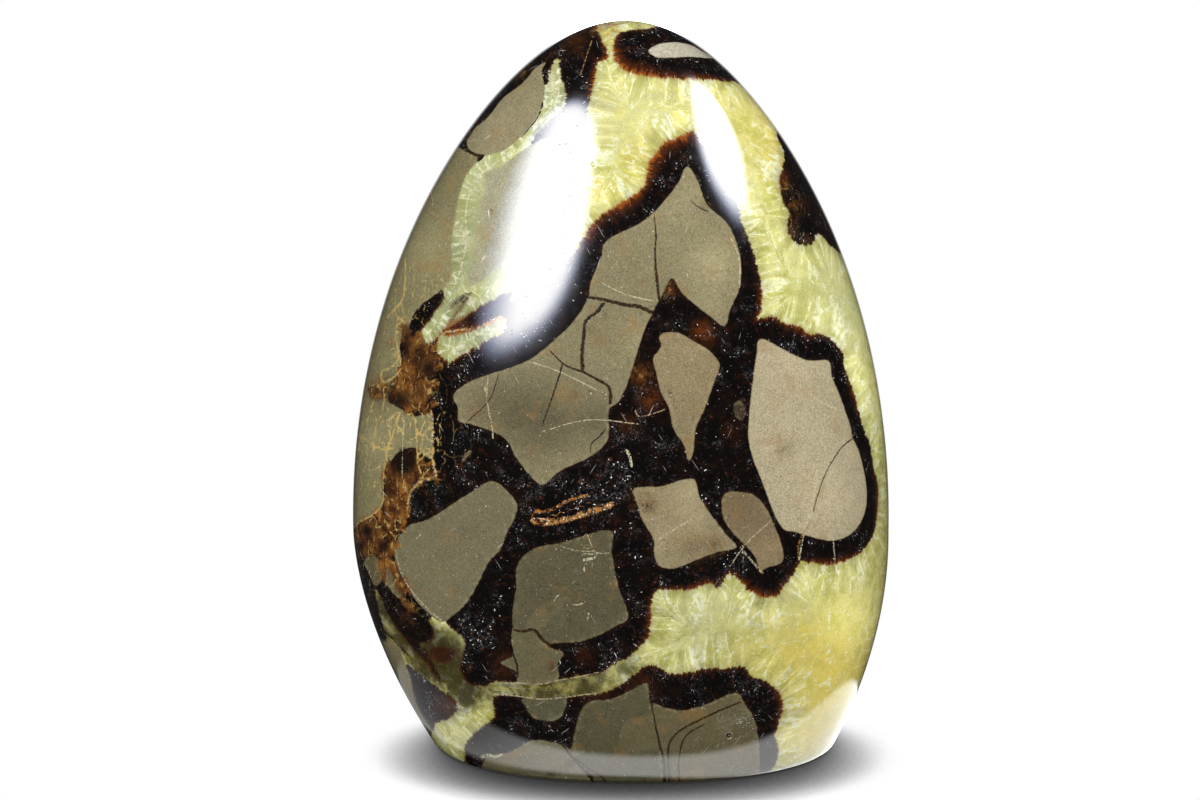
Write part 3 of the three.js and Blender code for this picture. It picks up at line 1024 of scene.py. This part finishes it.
def newGroup(name, inputs, outputs):
    tree = bpy.data.node_groups.new(name, "ShaderNodeTree")
    for labels, way in ((inputs, "INPUT"), (outputs, "OUTPUT")):
        for label in labels.split(", "):
            kind = "Vector" if label in ("Wall", "Seam", "Position", "Turn") else "Float"
            tree.interface.new_socket(label, in_out=way, socket_type="NodeSocket" + kind)
    return tree, outputsOf(tree.nodes.new("NodeGroupInput")), tree.nodes.new("NodeGroupOutput").inputs


def useGroup(group, **values):
    tree = next(value.socket.id_data for value in values.values() if isinstance(value, Link))
    node = tree.nodes.new("ShaderNodeGroup")
    node.node_tree = group
    for label, value in values.items():
        wire(value, node.inputs[label])
    return outputsOf(node)


def needlesGroup():
    # needle crystals that stand on a wall: how far they reach, counted from the wall's own line
    group, given, result = newGroup("needles", "Wall, Length, Fineness", "Reach")
    total = 0.0
    for fineness, weight in ((0.3, 1.2), (1.0, 1.0), (2.6, 0.7)):
        needle = noiseOf(given["Wall"], given["Fineness"] * fineness, 1.0, 0.6)
        total = total + (fade(needle, 0.25, 0.75) - 0.5) * weight
    wire(total * given["Length"], result["Reach"])
    return group


def seamGroup():
    # a thin line that follows a stored seam; waver shakes it sideways, thick changes its width
    group, given, result = newGroup("seam line", "Seam, Waver, Thick, Soft", "Line, Tone")
    across, half, tone = parts(given["Seam"])
    distance = calc("ABSOLUTE", across + given["Waver"])
    wire(fade(half * given["Thick"] - distance, given["Soft"] * -1.0, given["Soft"]), result["Line"])
    wire(tone, result["Tone"])
    return group


def specksGroup():
    # scattered specks of many sizes, each with its own chance (0 to 1) and brightness
    group, given, result = newGroup("specks", "Position, Scale, Size", "Dot, Chance, Bright")
    cell = cellsOf(given["Position"], given["Scale"])
    chance = parts(cell["Color"])
    own = given["Size"] * (0.35 + chance[2])
    wire(fade(cell["Distance"], own, own * 0.4), result["Dot"])
    wire(chance[0], result["Chance"])
    wire(0.25 + chance[1] * 0.75, result["Bright"])
    return group


def scratchGroup():
    # short straight scratches, all in one direction, each broken off at random
    group, given, result = newGroup("scratches", "Position, Turn, Share", "Scratches")
    turned = addNode("ShaderNodeVectorRotate", given["Position"], rotation_type="EULER_XYZ")
    wire(given["Turn"], turned.inputs["Rotation"])
    drawn = vectorOf("MULTIPLY", Link(turned.outputs[0]), (0.8, 0.2, 0.2))
    line = cellsOf(drawn, 1.0)
    chance = parts(line["Color"])
    sideways = calc("ABSOLUTE", parts(vectorOf("SUBTRACT", drawn, line["Position"]))[0])
    ends = fade(line["Distance"], 0.12 + chance[1] * 0.25, 0.08)
    drawnHere = calc("LESS_THAN", chance[0], given["Share"])
    wire(fade(sideways, 0.05, 0.02) * ends * drawnHere, result["Scratches"])
    return group


# Colours of the stone's minerals, from 0 to 255 in display red, green and blue.
stoneFinish = {
    "brightness": 0.758,             # studio light makes up the rest
    "aragoniteBlack": (8, 6, 5),
    "aragoniteBrown": (38, 19, 9),
    "needleBrown": (74, 34, 10),
    "copper": (112, 62, 34),
    "needleAmber": (150, 80, 22),
    "windowBrown": (84, 42, 14),
    "calcitePale": (213, 209, 137),
    "calciteDeep": (172, 170, 82),
    "calciteGold": (212, 190, 84),
    "calciteMilk": (228, 230, 194),
    "calciteShade": (68, 60, 24),
    "calciteGreen": (138, 148, 112),
    "rustDark": (42, 22, 8),
    "rustBrown": (100, 58, 19),
    "rustOchre": (148, 98, 38),
    "rustYellow": (196, 170, 100),
    "hairlinePale": (206, 200, 166),
    "hairlineRust": (146, 106, 52),
    "paleHalo": (160, 150, 112),
    # white and grey specks: partly white crystals and wear, partly painted glints
    "crystalWhite": (226, 224, 214),
    "crystalGrey": (118, 118, 122),
    "roughness": 0.10,
    "needleLength": 0.36,           # millimetres
    "needleFineness": 2.2,
    "farFrom": 8.0,                 # behind this, cracks and hairlines draw themselves
    "farFull": 14.0,
    "pinholes": 0.72,               # a higher value leaves fewer
    "scratches": 0.08,
}
# Each pattern: what it moves on, how fine it is for each millimetre, detail and roughness.
stonePatterns = {
    "slow": ("place", 0.09, 2.0, 0.5),
    "cloud": ("place", 0.28, 3.0, 0.6),
    "medium": ("place", 0.9, 3.0, 0.6),
    "grain": ("place", 2.4, 2.0, 0.7),
    "fine": ("place", 5.0, 2.0, 0.7),
    "grainy": ("pushed", 0.36, 5.0, 0.6),
    "veil": ("pushed", 0.8, 5.0, 0.65),
    "ridge": ("pushed", 0.22, 3.0, 0.55),
    "rustCloud": ("pushed", 0.36, 4.0, 0.62),
    "clusterCloud": ("place", 0.3, 4.0, 0.65),
    "fibre": ("along", 2.0, 3.0, 0.7),
    "rays": ("across", 1.3, 2.0, 0.6),
    "glint": ("glinting", 3.0, 1.0, 0.6),
}
# Each size of speck: what it moves on, how many for each millimetre and their size.
stoneSpecks = {
    "small": ("rough", 3.1, 0.30), "mid": ("rough", 1.5, 0.18), "large": ("rough", 0.55, 0.09),
    "along": ("along", 3.4, 0.30),
}


def stoneFields(tree):
    # everything that the minerals' colours are worked out from
    def attribute(name, output="Vector"):
        node = tree.nodes.new("ShaderNodeAttribute")
        node.attribute_name = name
        return Link(node.outputs[output])

    f = SimpleNamespace()
    f.seam = {name: attribute(name) for name in stoneSeams}
    f.place = scaled(source(tree, "ShaderNodeTexCoord", "Object"), mm)
    f.pushed = pushOf(f.place, 0.4, 2.2)
    f.rough = pushOf(f.place, 3.0, 0.4)
    f.mudEdge, f.calciteEdge, f.rustEdge = parts(attribute("edges"))
    f.amber, f.rustPaint, f.netPaint = parts(attribute("rimPaint"))
    f.gold, f.milk, f.green = parts(attribute("calcitePaint"))
    f.glow, f.window, soft = parts(attribute("bodyPaint"))
    f.soft = soft * soft * 2.4
    f.tint, f.light = attribute("blockTint", "Color"), attribute("light", "Fac")
    f.wall = attribute("calciteWall")
    f.along = vectorOf("ADD", scaled(f.wall, 0.85), scaled(f.place, 0.15))
    f.across = vectorOf("ADD", scaled(attribute("mudWall"), 0.85), scaled(f.pushed, 0.15))
    f.glinting = vectorOf("ADD", f.along, scaled(f.place, 0.5))
    for name, (where, scale, detail, roughness) in stonePatterns.items():
        setattr(f, name, noiseOf(getattr(f, where), scale, detail, roughness))
    group = specksGroup()
    f.specks = {name: useGroup(group, Position=getattr(f, where), Scale=scale, Size=size)
                for name, (where, scale, size) in stoneSpecks.items()}
    # clusters: where the painted glints gather, more of them in the milk spots
    f.clusters = fade(f.clusterCloud + f.milk * 0.18, 0.49, 0.65)
    return f


def placeMinerals(f):
    # where clear calcite and mudstone nearly touch there is no aragonite between them
    gap = (f.mudEdge + f.calciteEdge) * -1.0
    f.touching = fade(gap, 0.4 + f.soft * 3.2, 0.15 + f.soft * 2.2)
    calciteEdge = f.calciteEdge + f.touching * 3.0

    # aragonite grows into the calcite as a fringe of needles
    length, fineness = stoneFinish["needleLength"], stoneFinish["needleFineness"]
    reach = useGroup(needlesGroup(), Wall=f.wall, Length=length, Fineness=fineness)["Reach"]
    f.beyondTips = calciteEdge - reach * fade(f.soft, 0.0, 0.3, 1.0, 0.2) + (f.fine - 0.5) * 0.6
    f.inCalcite = fade(f.beyondTips, -0.2 - f.soft, 0.2 + f.soft)

    # mudstone blocks have clean edges, blurred only where clear calcite lies over them
    f.inMudBy = f.mudEdge + (f.medium - 0.5) * (0.3 + f.soft * 3.0)
    f.inMud = fade(f.inMudBy, -0.06 - f.soft, 0.08 + f.soft)


def aragoniteColour(f):
    # black, browner towards its needle tips and in patches
    depth = f.beyondTips * -1.0 + (f.fibre - 0.5) * (1.4 + f.amber * 3.0)
    result = mix(fade(f.cloud, 0.5, 0.66) * 0.25, "aragoniteBlack", "aragoniteBrown")
    for reach, spread, finish, faint, strong in ((0.9, 3.4, "aragoniteBrown", 0.6, 0.35),
                                                 (0.5, 2.5, "needleBrown", 0.35, 0.6),
                                                 (0.12, 0.95, "needleAmber", 0.03, 0.75)):
        end = reach + f.amber * spread
        result = mix(fade(depth, end, end * 0.15) * (faint + f.amber * strong), result, finish)
    window = f.window * fade(f.medium, 0.35, 0.6, 0.3, 1.0)
    rim = fade(f.mudEdge, -0.8, -0.2) * fade(f.medium, 0.42, 0.6)

    # rays that cross the rim from the mudstone, then painted glints: grey and white specks for crystal faces
    # that catch the light
    rays = fade(f.rays, 0.54, 0.66) * fade(f.medium, 0.44, 0.6)
    clusters = f.clusters * (1.0 - window)
    # the grey grit and the white specks are painted glints, gathered in clusters
    grit = fade(f.specks["small"]["Chance"], 0.62, 1.0) * clusters
    result = coat(result, (window, "windowBrown"), (rim * 0.5, "aragoniteBrown"),
                  (rays * 0.28, "needleBrown"), (grit * 0.2, "crystalGrey"))
    result = sprinkle(result, f.specks, ("small", 0.0, clusters * 0.4, 0.5, "copper"),
                      ("along", 0.0, clusters * 0.5, 0.5, "copper"),
                      ("mid", 0.0, clusters * 0.2, 0.5, "needleBrown"),
                      ("along", 0.0, clusters * 0.04, 1.0, "crystalWhite"))
    glint = f.glint + (clusters - 1.0) * 0.085
    return coat(result, (fade(glint, 0.62, 0.67) * 0.35, "crystalGrey"),
                (fade(glint, 0.685, 0.72) * 0.9, "crystalWhite"))


def calciteColour(f):
    # translucent yellow to green, bladed near the walls, with white cleaved crystals
    nearWall = fade(f.beyondTips, 9.0, 3.0)
    blades = pushOf(vectorOf("ADD", f.wall, scaled(f.pushed, 0.26)), 0.7, 0.9)
    deeper, whiter, lighter = parts(cellsOf(blades, 0.36)["Color"])
    bladeEdge = cellsOf(blades, 0.36, "DISTANCE_TO_EDGE")["Distance"]
    deep = fade(f.grainy, 0.36, 0.66) + (deeper - 0.5) * (nearWall * 0.9)
    deep = calc("ADD", deep, (f.slow - 0.5) * 1.4, clamp=True)
    result = mix(deep * 0.85, "calcitePale", "calciteDeep")
    result = coat(result, (f.gold * fade(f.grainy, 0.3, 0.6, 1.0, 0.55), "calciteGold"),
                  (f.green * fade(f.grainy, 0.3, 0.6, 0.95, 0.6), "calciteGreen"))

    # white streaks stand on the walls, white veils and hair cracks run anywhere
    streaks = fade(f.fibre, 0.57, 0.7) * fade(f.beyondTips, 8.0, 2.0, 0.15, 1.0)
    whiteBlades = fade(whiter, 0.82, 0.88) * (nearWall * fade(f.medium, 0.36, 0.56))
    shard = cellsOf(blades, 1.15)
    chance = parts(shard["Color"])[0] + f.milk * 0.08
    shards = fade(chance, 0.935, 0.945) * fade(shard["Distance"], 0.62, 0.5)
    shards = shards * fade(f.grain, 0.42, 0.54, 0.3, 1.0)
    veils = fade(f.veil + f.milk * 0.07, 0.6, 0.7)
    edges = fade(bladeEdge, 0.05, 0.018) * (nearWall * fade(f.medium, 0.44, 0.54))
    crack = fade(calc("ABSOLUTE", f.ridge - 0.5), 0.01, 0.003) * fade(f.medium, 0.44, 0.56)
    milky = f.milk * fade(f.grainy, 0.45, 0.62)
    for share, amount in ((streaks, 0.22), (whiteBlades, 0.7), (shards, 0.6), (veils, 0.3), (edges, 0.7),
                          (crack, 0.6), (milky, 0.4)):
        result = mix(share * amount, result, "calciteMilk")

    # the glow spots darken the calcite, partly as painted shade where the light falls off lower down and
    # partly for its own darker olive places, and lighten it as painted light; the gaps between blades and
    # the needles' foot are darker too
    mottled = fade(f.grainy, 0.32, 0.64, -0.8, -1.15)
    dim = calc("MULTIPLY", calc("MINIMUM", f.glow, 0.0), mottled, clamp=True)
    result = mix(fade(dim, 0.35, 0.95, 0.0, 0.9), result, "calciteShade")
    gaps = fade(f.fibre, 0.46, 0.28) * nearWall
    shade = 1.0 - dim * 0.5 + calc("MAXIMUM", f.glow, 0.0) - gaps * 0.24
    # the last factor is painted facet shading: each blade lighter at its edges and darker in its middle
    for factor in (1.0 + (lighter - 0.5) * nearWall * 0.2, fade(f.beyondTips, 2.6, 0.0, 1.0, 0.78),
                   fade(f.grain, 0.3, 0.7, 0.88, 1.02), fade(f.fine, 0.3, 0.7, 0.92, 1.08),
                   1.0 + fade(bladeEdge, 0.0, 0.3, 0.12, -0.08) * nearWall):
        shade = shade * factor
    result = sprinkle(shaded(result, shade), f.specks, ("small", 0.0, f.milk * 0.16, 0.8, "crystalWhite"),
                      ("mid", 0.0, f.milk * 0.3, 0.8, "crystalWhite"))
    return mix(fade(f.beyondTips, 0.6, 0.0) * (0.04 + f.amber * 0.45), result, "needleAmber")


def mudColour(f):
    # fine grey-brown mudstone with clouds, specks, stains and a paler edge, made lighter and darker in
    # places by painted light and shade from the light spots
    tone = -0.82 + f.cloud * 0.3
    for pattern, amount in ((f.grainy, 0.22), (f.medium, 0.3), (f.grain, 1.0), (f.fine, 2.0)):
        tone = tone + pattern * amount
    paleEdge = fade(f.inMudBy, 1.2, 0.1) * fade(f.medium, 0.45, 0.65)
    smudge = fade(f.veil, 0.64, 0.74) * fade(f.fine, 0.4, 0.55, 0.1, 0.5)
    result = coat(shaded(f.tint, tone * (1.0 + f.light)), (fade(f.ridge, 0.54, 0.72) * 0.3, "hairlineRust"),
                  (fade(f.ridge, 0.44, 0.28) * 0.06, "calciteGreen"), (paleEdge * 0.3, "paleHalo"),
                  (smudge, "hairlineRust"))
    # the dark and copper specks are the mudstone's own; the white specks are partly white crystals, partly
    # painted glints
    result = sprinkle(result, f.specks, ("small", 0.0, 0.18, 0.5, "rustDark"),
                      ("mid", 0.0, 0.22, 0.7, "rustDark"),
                      ("large", 0.0, 0.3, 0.8, "rustDark"), ("large", 0.3, 0.5, 0.6, "copper"),
                      ("small", 0.93, 1.0, 0.7, "crystalWhite"), ("mid", 0.93, 1.0, 0.8, "crystalWhite"),
                      ("large", 0.85, 1.0, 0.9, "crystalWhite"))
    result = coat(result, (fade(f.glint + f.milk * 0.19, 0.79, 0.82, 0.0, 0.7), "crystalWhite"),
                  (fade(f.glint, 0.265, 0.225, 0.0, 0.6), "rustDark"))
    result = sprinkle(result, f.specks, ("mid", 0.0, f.milk * 0.4, 1.0, "rustYellow"))
    darkLine = fade(f.inMudBy, 0.3, 0.0) * (1.0 - f.touching)
    return mix(darkLine * 0.5, result, "rustDark")


def rustColour(f):
    # dark brown to ochre, darkest where the glow is below nothing
    dark = calc("MULTIPLY", f.glow, -1.0, clamp=True)
    result = mix(fade(f.rustCloud, 0.4, 0.54), "rustDark", "rustBrown")
    return coat(result, (fade(f.rustCloud, 0.5, 0.7), "rustOchre"),
                (fade(f.fine, 0.45, 0.7, 0.0, 0.7), "rustDark"),
                (fade(f.grain, 0.52, 0.66, 0.0, 0.4), "rustOchre"), (dark * 0.9, "aragoniteBrown"),
                (fade(dark, 0.5, 1.0, 0.0, 0.7), "aragoniteBlack"))


def addRust(f, base):
    # rust, in drawn patches and stains, with pale yellow veinlets
    patches = fade(f.rustEdge + (f.rustCloud - 0.5) * 7.0, -0.6, 0.5)
    f.inRust = calc("MAXIMUM", patches * 0.93, f.rustPaint * fade(f.medium, 0.3, 0.55) * 0.8)
    upright = vectorOf("MULTIPLY", f.pushed, (1.0, 1.0, 0.45))
    line = fade(cellsOf(upright, 0.36, "DISTANCE_TO_EDGE")["Distance"], 0.045, 0.012)
    netted = calc("MAXIMUM", f.netPaint, f.inRust * 0.7) * fade(f.glow, -0.1, -0.6, 1.0, 0.05)
    veinlets = line * (netted * fade(f.medium, 0.46, 0.56))
    return coat(base, (f.inRust, rustColour(f)), (veinlets * 0.85, "rustYellow"))


def addLines(f, base):
    # seams, cracks, hairlines and worn scratches
    waver = (f.medium - 0.5) * 0.9
    thick = 1.0 + (f.grain - 0.5) * 2.2
    group = seamGroup()

    def seam(name, ragged, softness):
        line = useGroup(group, Seam=f.seam[name], Waver=waver * ragged, Thick=thick, Soft=softness)
        return line["Line"], line["Tone"]

    # the gold seams are ochre, amber and brown, with white painted glints
    line, tone = seam("goldSeam", 1.2, 0.2)
    brown = fade(tone, 0.2, 0.45)
    gold = coat(mix(tone, "rustYellow", "needleAmber"), (fade(f.medium, 0.54, 0.44) * brown, "needleBrown"),
                (fade(f.fine, 0.53, 0.63, 0.0, 0.7), "rustYellow"),
                (fade(f.glint, 0.61, 0.66) * brown, "crystalWhite"))
    base = mix(line * fade(f.medium, 0.36, 0.52, 0.25, 0.9), base, gold)
    f.cracks = 0.0
    for name in ("darkSeam", "crossSeam"):
        line, tone = seam(name, 0.5, 0.09)
        dark = mix(tone, "aragoniteBlack", "aragoniteBrown")
        base = mix(line * 0.92, base, mix(fade(f.fine, 0.58, 0.72), dark, "hairlineRust"))
        f.cracks = calc("MAXIMUM", f.cracks, line)
    broken = fade(f.grain, 0.4, 0.54)
    for name in ("paleSeam", "palerSeam"):
        line, tone = seam(name, 0.2, 0.08)
        base = mix(line * broken * 0.75, base, mix(tone, "hairlinePale", "hairlineRust"))

    # the back's own hairlines, between large cells
    far = fade(parts(f.place)[1], stoneFinish["farFrom"], stoneFinish["farFull"]) * f.inMud * broken
    gaps = fade(calc("ABSOLUTE", f.cloud - 0.5), 0.0, 0.05)
    line = fade(cellsOf(f.pushed, 0.065, "DISTANCE_TO_EDGE")["Distance"], 0.014, 0.005) * (gaps * far)
    base = mix(line * 0.65, base, mix(fade(f.cloud, 0.48, 0.52), "aragoniteBrown", "hairlinePale"))
    f.worn = 0.0
    group = scratchGroup()
    for turn in ((0.3, 0.5, 0.4), (0.2, -0.4, 2.2)):
        line = useGroup(group, Position=f.place, Turn=turn, Share=stoneFinish["scratches"])["Scratches"]
        f.worn = calc("MAXIMUM", f.worn, line)
    return mix(f.worn * 0.28, base, "crystalWhite")


def polishedStone():
    material = bpy.data.materials.new("polished_stone")
    material.use_nodes = True
    tree = material.node_tree
    tree.nodes.clear()
    f = stoneFields(tree)
    placeMinerals(f)
    base = mix(f.inCalcite, aragoniteColour(f), calciteColour(f))
    base = mix(f.inMud, base, mudColour(f))
    base = addLines(f, addRust(f, base))

    # the polish, with pinholes
    pits = f.specks["mid"]["Dot"] * calc("GREATER_THAN", f.specks["mid"]["Chance"], stoneFinish["pinholes"])
    bump = tree.nodes.new("ShaderNodeBump")
    bump.inputs["Strength"].default_value = 0.35
    bump.inputs["Distance"].default_value = 0.0001
    wire(f.fine * 0.12 - (f.cracks * 0.3 + f.worn * 0.5) - pits * 1.5, bump.inputs["Height"])
    shader = tree.nodes.new("ShaderNodeBsdfPrincipled")
    rough = stoneFinish["roughness"] + (f.cloud - 0.5) * 0.08
    wire(shaded(base, stoneFinish["brightness"]), shader.inputs["Base Color"])
    wire(rough + calc("MAXIMUM", f.inRust * 0.3, pits) * 0.4, shader.inputs["Roughness"])
    wire(Link(bump.outputs[0]), shader.inputs["Normal"])
    shader.inputs["IOR"].default_value = 1.6
    shader.inputs["Coat Weight"].default_value = 1.0
    shader.inputs["Coat Roughness"].default_value = 0.03
    wire(Link(shader.outputs[0]), tree.nodes.new("ShaderNodeOutputMaterial").inputs["Surface"])
    return material


# Two large soft lights in front and two behind. Azimuth 0 is in front of the stone, 90 on its right.
# Each glows evenly inside a rounded outline; "dim" is the share left at its weaker end.
studioLights = {
    "left soft box": {"azimuth": -33, "elevation": 29, "distance": 0.75, "width": 0.61, "height": 0.63,
                      "roll": 11, "radiance": 11.2, "edge": 0.20,
                      "dim": 0.0, "dimFrom": -0.85, "dimUntil": 0.10, "inPolish": True},
    "right soft box": {"azimuth": 55.5, "elevation": 41, "distance": 0.8, "width": 0.60, "height": 0.32,
                       "roll": 38, "radiance": 12.0, "edge": 0.34,
                       "dim": 1.0, "dimFrom": -0.5, "dimUntil": 0.0, "inPolish": True},
    "rear soft box": {"azimuth": 195, "elevation": 48, "distance": 0.9, "width": 0.5, "height": 0.4,
                      "roll": 0, "radiance": 7.0, "edge": 0.3,
                      "dim": 1.0, "dimFrom": -1.0, "dimUntil": 0.0, "inPolish": False},
    "rear glint": {"azimuth": 180, "elevation": 9, "distance": 0.9, "width": 0.30, "height": 0.22,
                   "roll": 0, "radiance": 8.0, "edge": 0.4,
                   "dim": 1.0, "dimFrom": -1.0, "dimUntil": 0.0, "inPolish": True},
}
studioRoom = {
    "aim": (0, 0, 0.085),
    "floorSize": 8.0,
    "backdrop": 1.0,                # what the camera sees past the floor
    "softLight": 0.55,              # how much the room lights the stone
    "reflection": 0.02,             # how bright the room is in the polish
    "backPaper": 0.4,               # the white paper behind, seen in the polish along the outline
    "paintedShadowReach": 0.0188,         # how far the painted shadow at the foot spreads
    "paintedShadowLean": 1.7,             # the painted shadow falls mostly forward, as if the floor were lit from behind
    "paintedShadowPower": 3.5,
    "floorGlow": 2.4,
    "cardHalfWidth": 0.073,         # a glowing white card under the stone, no lamp, seen only in the polish as a painted reflection of the floor
    "cardHalfDepth": 0.0385,
    "footHalfWidth": 0.0425,        # the card is dark where the stone stands
    "footHalfDepth": 0.0295,
    "cardHeight": 0.0003,
    "cardCorners": 72,
    "cardRadiance": 2.0,
    "lampEdge": (196, 212, 255),    # the lamps turn slightly blue towards their edges
    "lampSquareness": 2.6,          # 2 makes them oval, a higher value squarer
}


def glowTree(data, color, strength):
    # a light's or a flat piece's own glow
    data.use_nodes = True
    tree = data.node_tree
    tree.nodes.clear()
    glow = tree.nodes.new("ShaderNodeEmission")
    kind = "ShaderNodeOutputLight" if isinstance(data, bpy.types.Light) else "ShaderNodeOutputMaterial"
    wire(Link(glow.outputs[0]), tree.nodes.new(kind).inputs["Surface"])
    wire(color(tree), glow.inputs["Color"])
    wire(strength(tree), glow.inputs["Strength"])


def makeLights():
    aim = Vector(studioRoom["aim"])
    square = studioRoom["lampSquareness"]
    for name, box in studioLights.items():
        turn, tilt = math.radians(box["azimuth"]), math.radians(box["elevation"])
        way = Vector((math.sin(turn) * math.cos(tilt), -math.cos(turn) * math.cos(tilt), math.sin(tilt)))
        data = bpy.data.lights.new(name, "AREA")
        data.shape = "RECTANGLE"
        data.size = box["width"]
        data.size_y = box["height"]
        data.energy = box["radiance"] * math.pi * box["width"] * box["height"]

        def level(tree):
            across, up = (share * 2.0 - 1.0 for share in
                          parts(source(tree, "ShaderNodeNewGeometry", "Parametric"))[:2])
            sides = [calc("POWER", calc("ABSOLUTE", side), square) for side in (across, up)]
            outward = calc("POWER", sides[0] + sides[1], 1 / square)
            inside = fade(outward, 1.0, 1.0 - box["edge"])
            return inside * fade(across, box["dimFrom"], box["dimUntil"], box["dim"], 1.0)

        glowTree(data, lambda tree: mix(level(tree), studioRoom["lampEdge"], (255, 255, 255)), level)
        lamp = bpy.data.objects.new(name, data)
        lamp.location = aim + way * box["distance"]
        facing = way.to_track_quat("Z", "Y").to_matrix() @ Matrix.Rotation(math.radians(box["roll"]), 3, "Z")
        lamp.rotation_euler = facing.to_euler()
        lamp.visible_camera = False
        lamp.visible_glossy = box["inPolish"]
        bpy.context.scene.collection.objects.link(lamp)


def flatPiece(name, outline, height, strength):
    mesh = bpy.data.meshes.new(name)
    mesh.from_pydata([(x, y, height) for x, y in outline], [], [tuple(range(len(outline)))])
    material = bpy.data.materials.new(name)
    glowTree(material, lambda tree: (1, 1, 1, 1), strength)
    mesh.materials.append(material)
    piece = bpy.data.objects.new(name, mesh)
    bpy.context.scene.collection.objects.link(piece)
    return piece


def makeRoom():
    # white behind everything, soft light from all sides, but dark in the polish
    world = bpy.data.worlds.new("studio")
    bpy.context.scene.world = world
    world.use_nodes = True
    tree = world.node_tree
    ray = outputsOf(tree.nodes.new("ShaderNodeLightPath"))
    behind = parts(source(tree, "ShaderNodeTexCoord", "Generated"))[1]
    paper = fade(behind, 0.93, 0.97, 0.0, studioRoom["backPaper"])
    seen = ray["Is Camera Ray"] * studioRoom["backdrop"] + ray["Is Diffuse Ray"] * studioRoom["softLight"]
    polish = ray["Is Glossy Ray"] * (paper + studioRoom["reflection"])
    wire((1, 1, 1, 1), tree.nodes["Background"].inputs["Color"])
    wire(seen + polish, tree.nodes["Background"].inputs["Strength"])

    def floorGlowAndPaintedShadow(tree):
        # glows evenly white, with a painted shadow only where the stone stands close over it
        paintedShadow = tree.nodes.new("ShaderNodeAmbientOcclusion")
        paintedShadow.samples = 16
        paintedShadow.inputs["Distance"].default_value = studioRoom["paintedShadowReach"]
        fromBehind = vectorOf("NORMALIZE", (0, studioRoom["paintedShadowLean"], 1), tree=tree)
        wire(fromBehind, paintedShadow.inputs["Normal"])
        shade = calc("POWER", Link(paintedShadow.outputs["AO"]), studioRoom["paintedShadowPower"])
        return calc("MINIMUM", shade * studioRoom["floorGlow"], 1.0)

    def paintedReflectionLevel(tree):
        # the painted reflection's strength: weaker at the left, and nothing outside the card or under the
        # foot
        x, y = parts(source(tree, "ShaderNodeTexCoord", "Object"))[:2]

        def reach(halfWidth, halfDepth):
            across, along = x / studioRoom[halfWidth], y / studioRoom[halfDepth]
            return calc("SQRT", across * across + along * along)

        level = fade(x, -0.05, -0.005, 0.12, 1.0) * fade(x, 0.01, 0.05, 1.0, 0.85)
        level = level * fade(reach("cardHalfWidth", "cardHalfDepth"), 1.0, 0.93)
        level = level * fade(reach("footHalfWidth", "footHalfDepth"), 1.0, 1.06)
        return level * studioRoom["cardRadiance"]

    half = studioRoom["floorSize"] / 2
    corners = [(-half, -half), (half, -half), (half, half), (-half, half)]
    floor = flatPiece("studio_floor", corners, 0.0, floorGlowAndPaintedShadow)
    floor.visible_glossy = False
    outline = [(studioRoom["cardHalfWidth"] * math.cos(turn), studioRoom["cardHalfDepth"] * math.sin(turn))
               for turn in np.linspace(0, math.tau, studioRoom["cardCorners"], endpoint=False)]
    card = flatPiece("painted_reflection_card", outline, studioRoom["cardHeight"], paintedReflectionLevel)
    card.visible_camera = False
    card.visible_diffuse = False
    card.visible_shadow = False


stone = makeBody(polishedStone())
markStone(stone.data)
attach(stone, "root")
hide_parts(stoneNode)
makeCamera()
makeLights()
makeRoom()
bpy.context.scene.view_settings.view_transform = "Standard"
print("lights and floor ready")
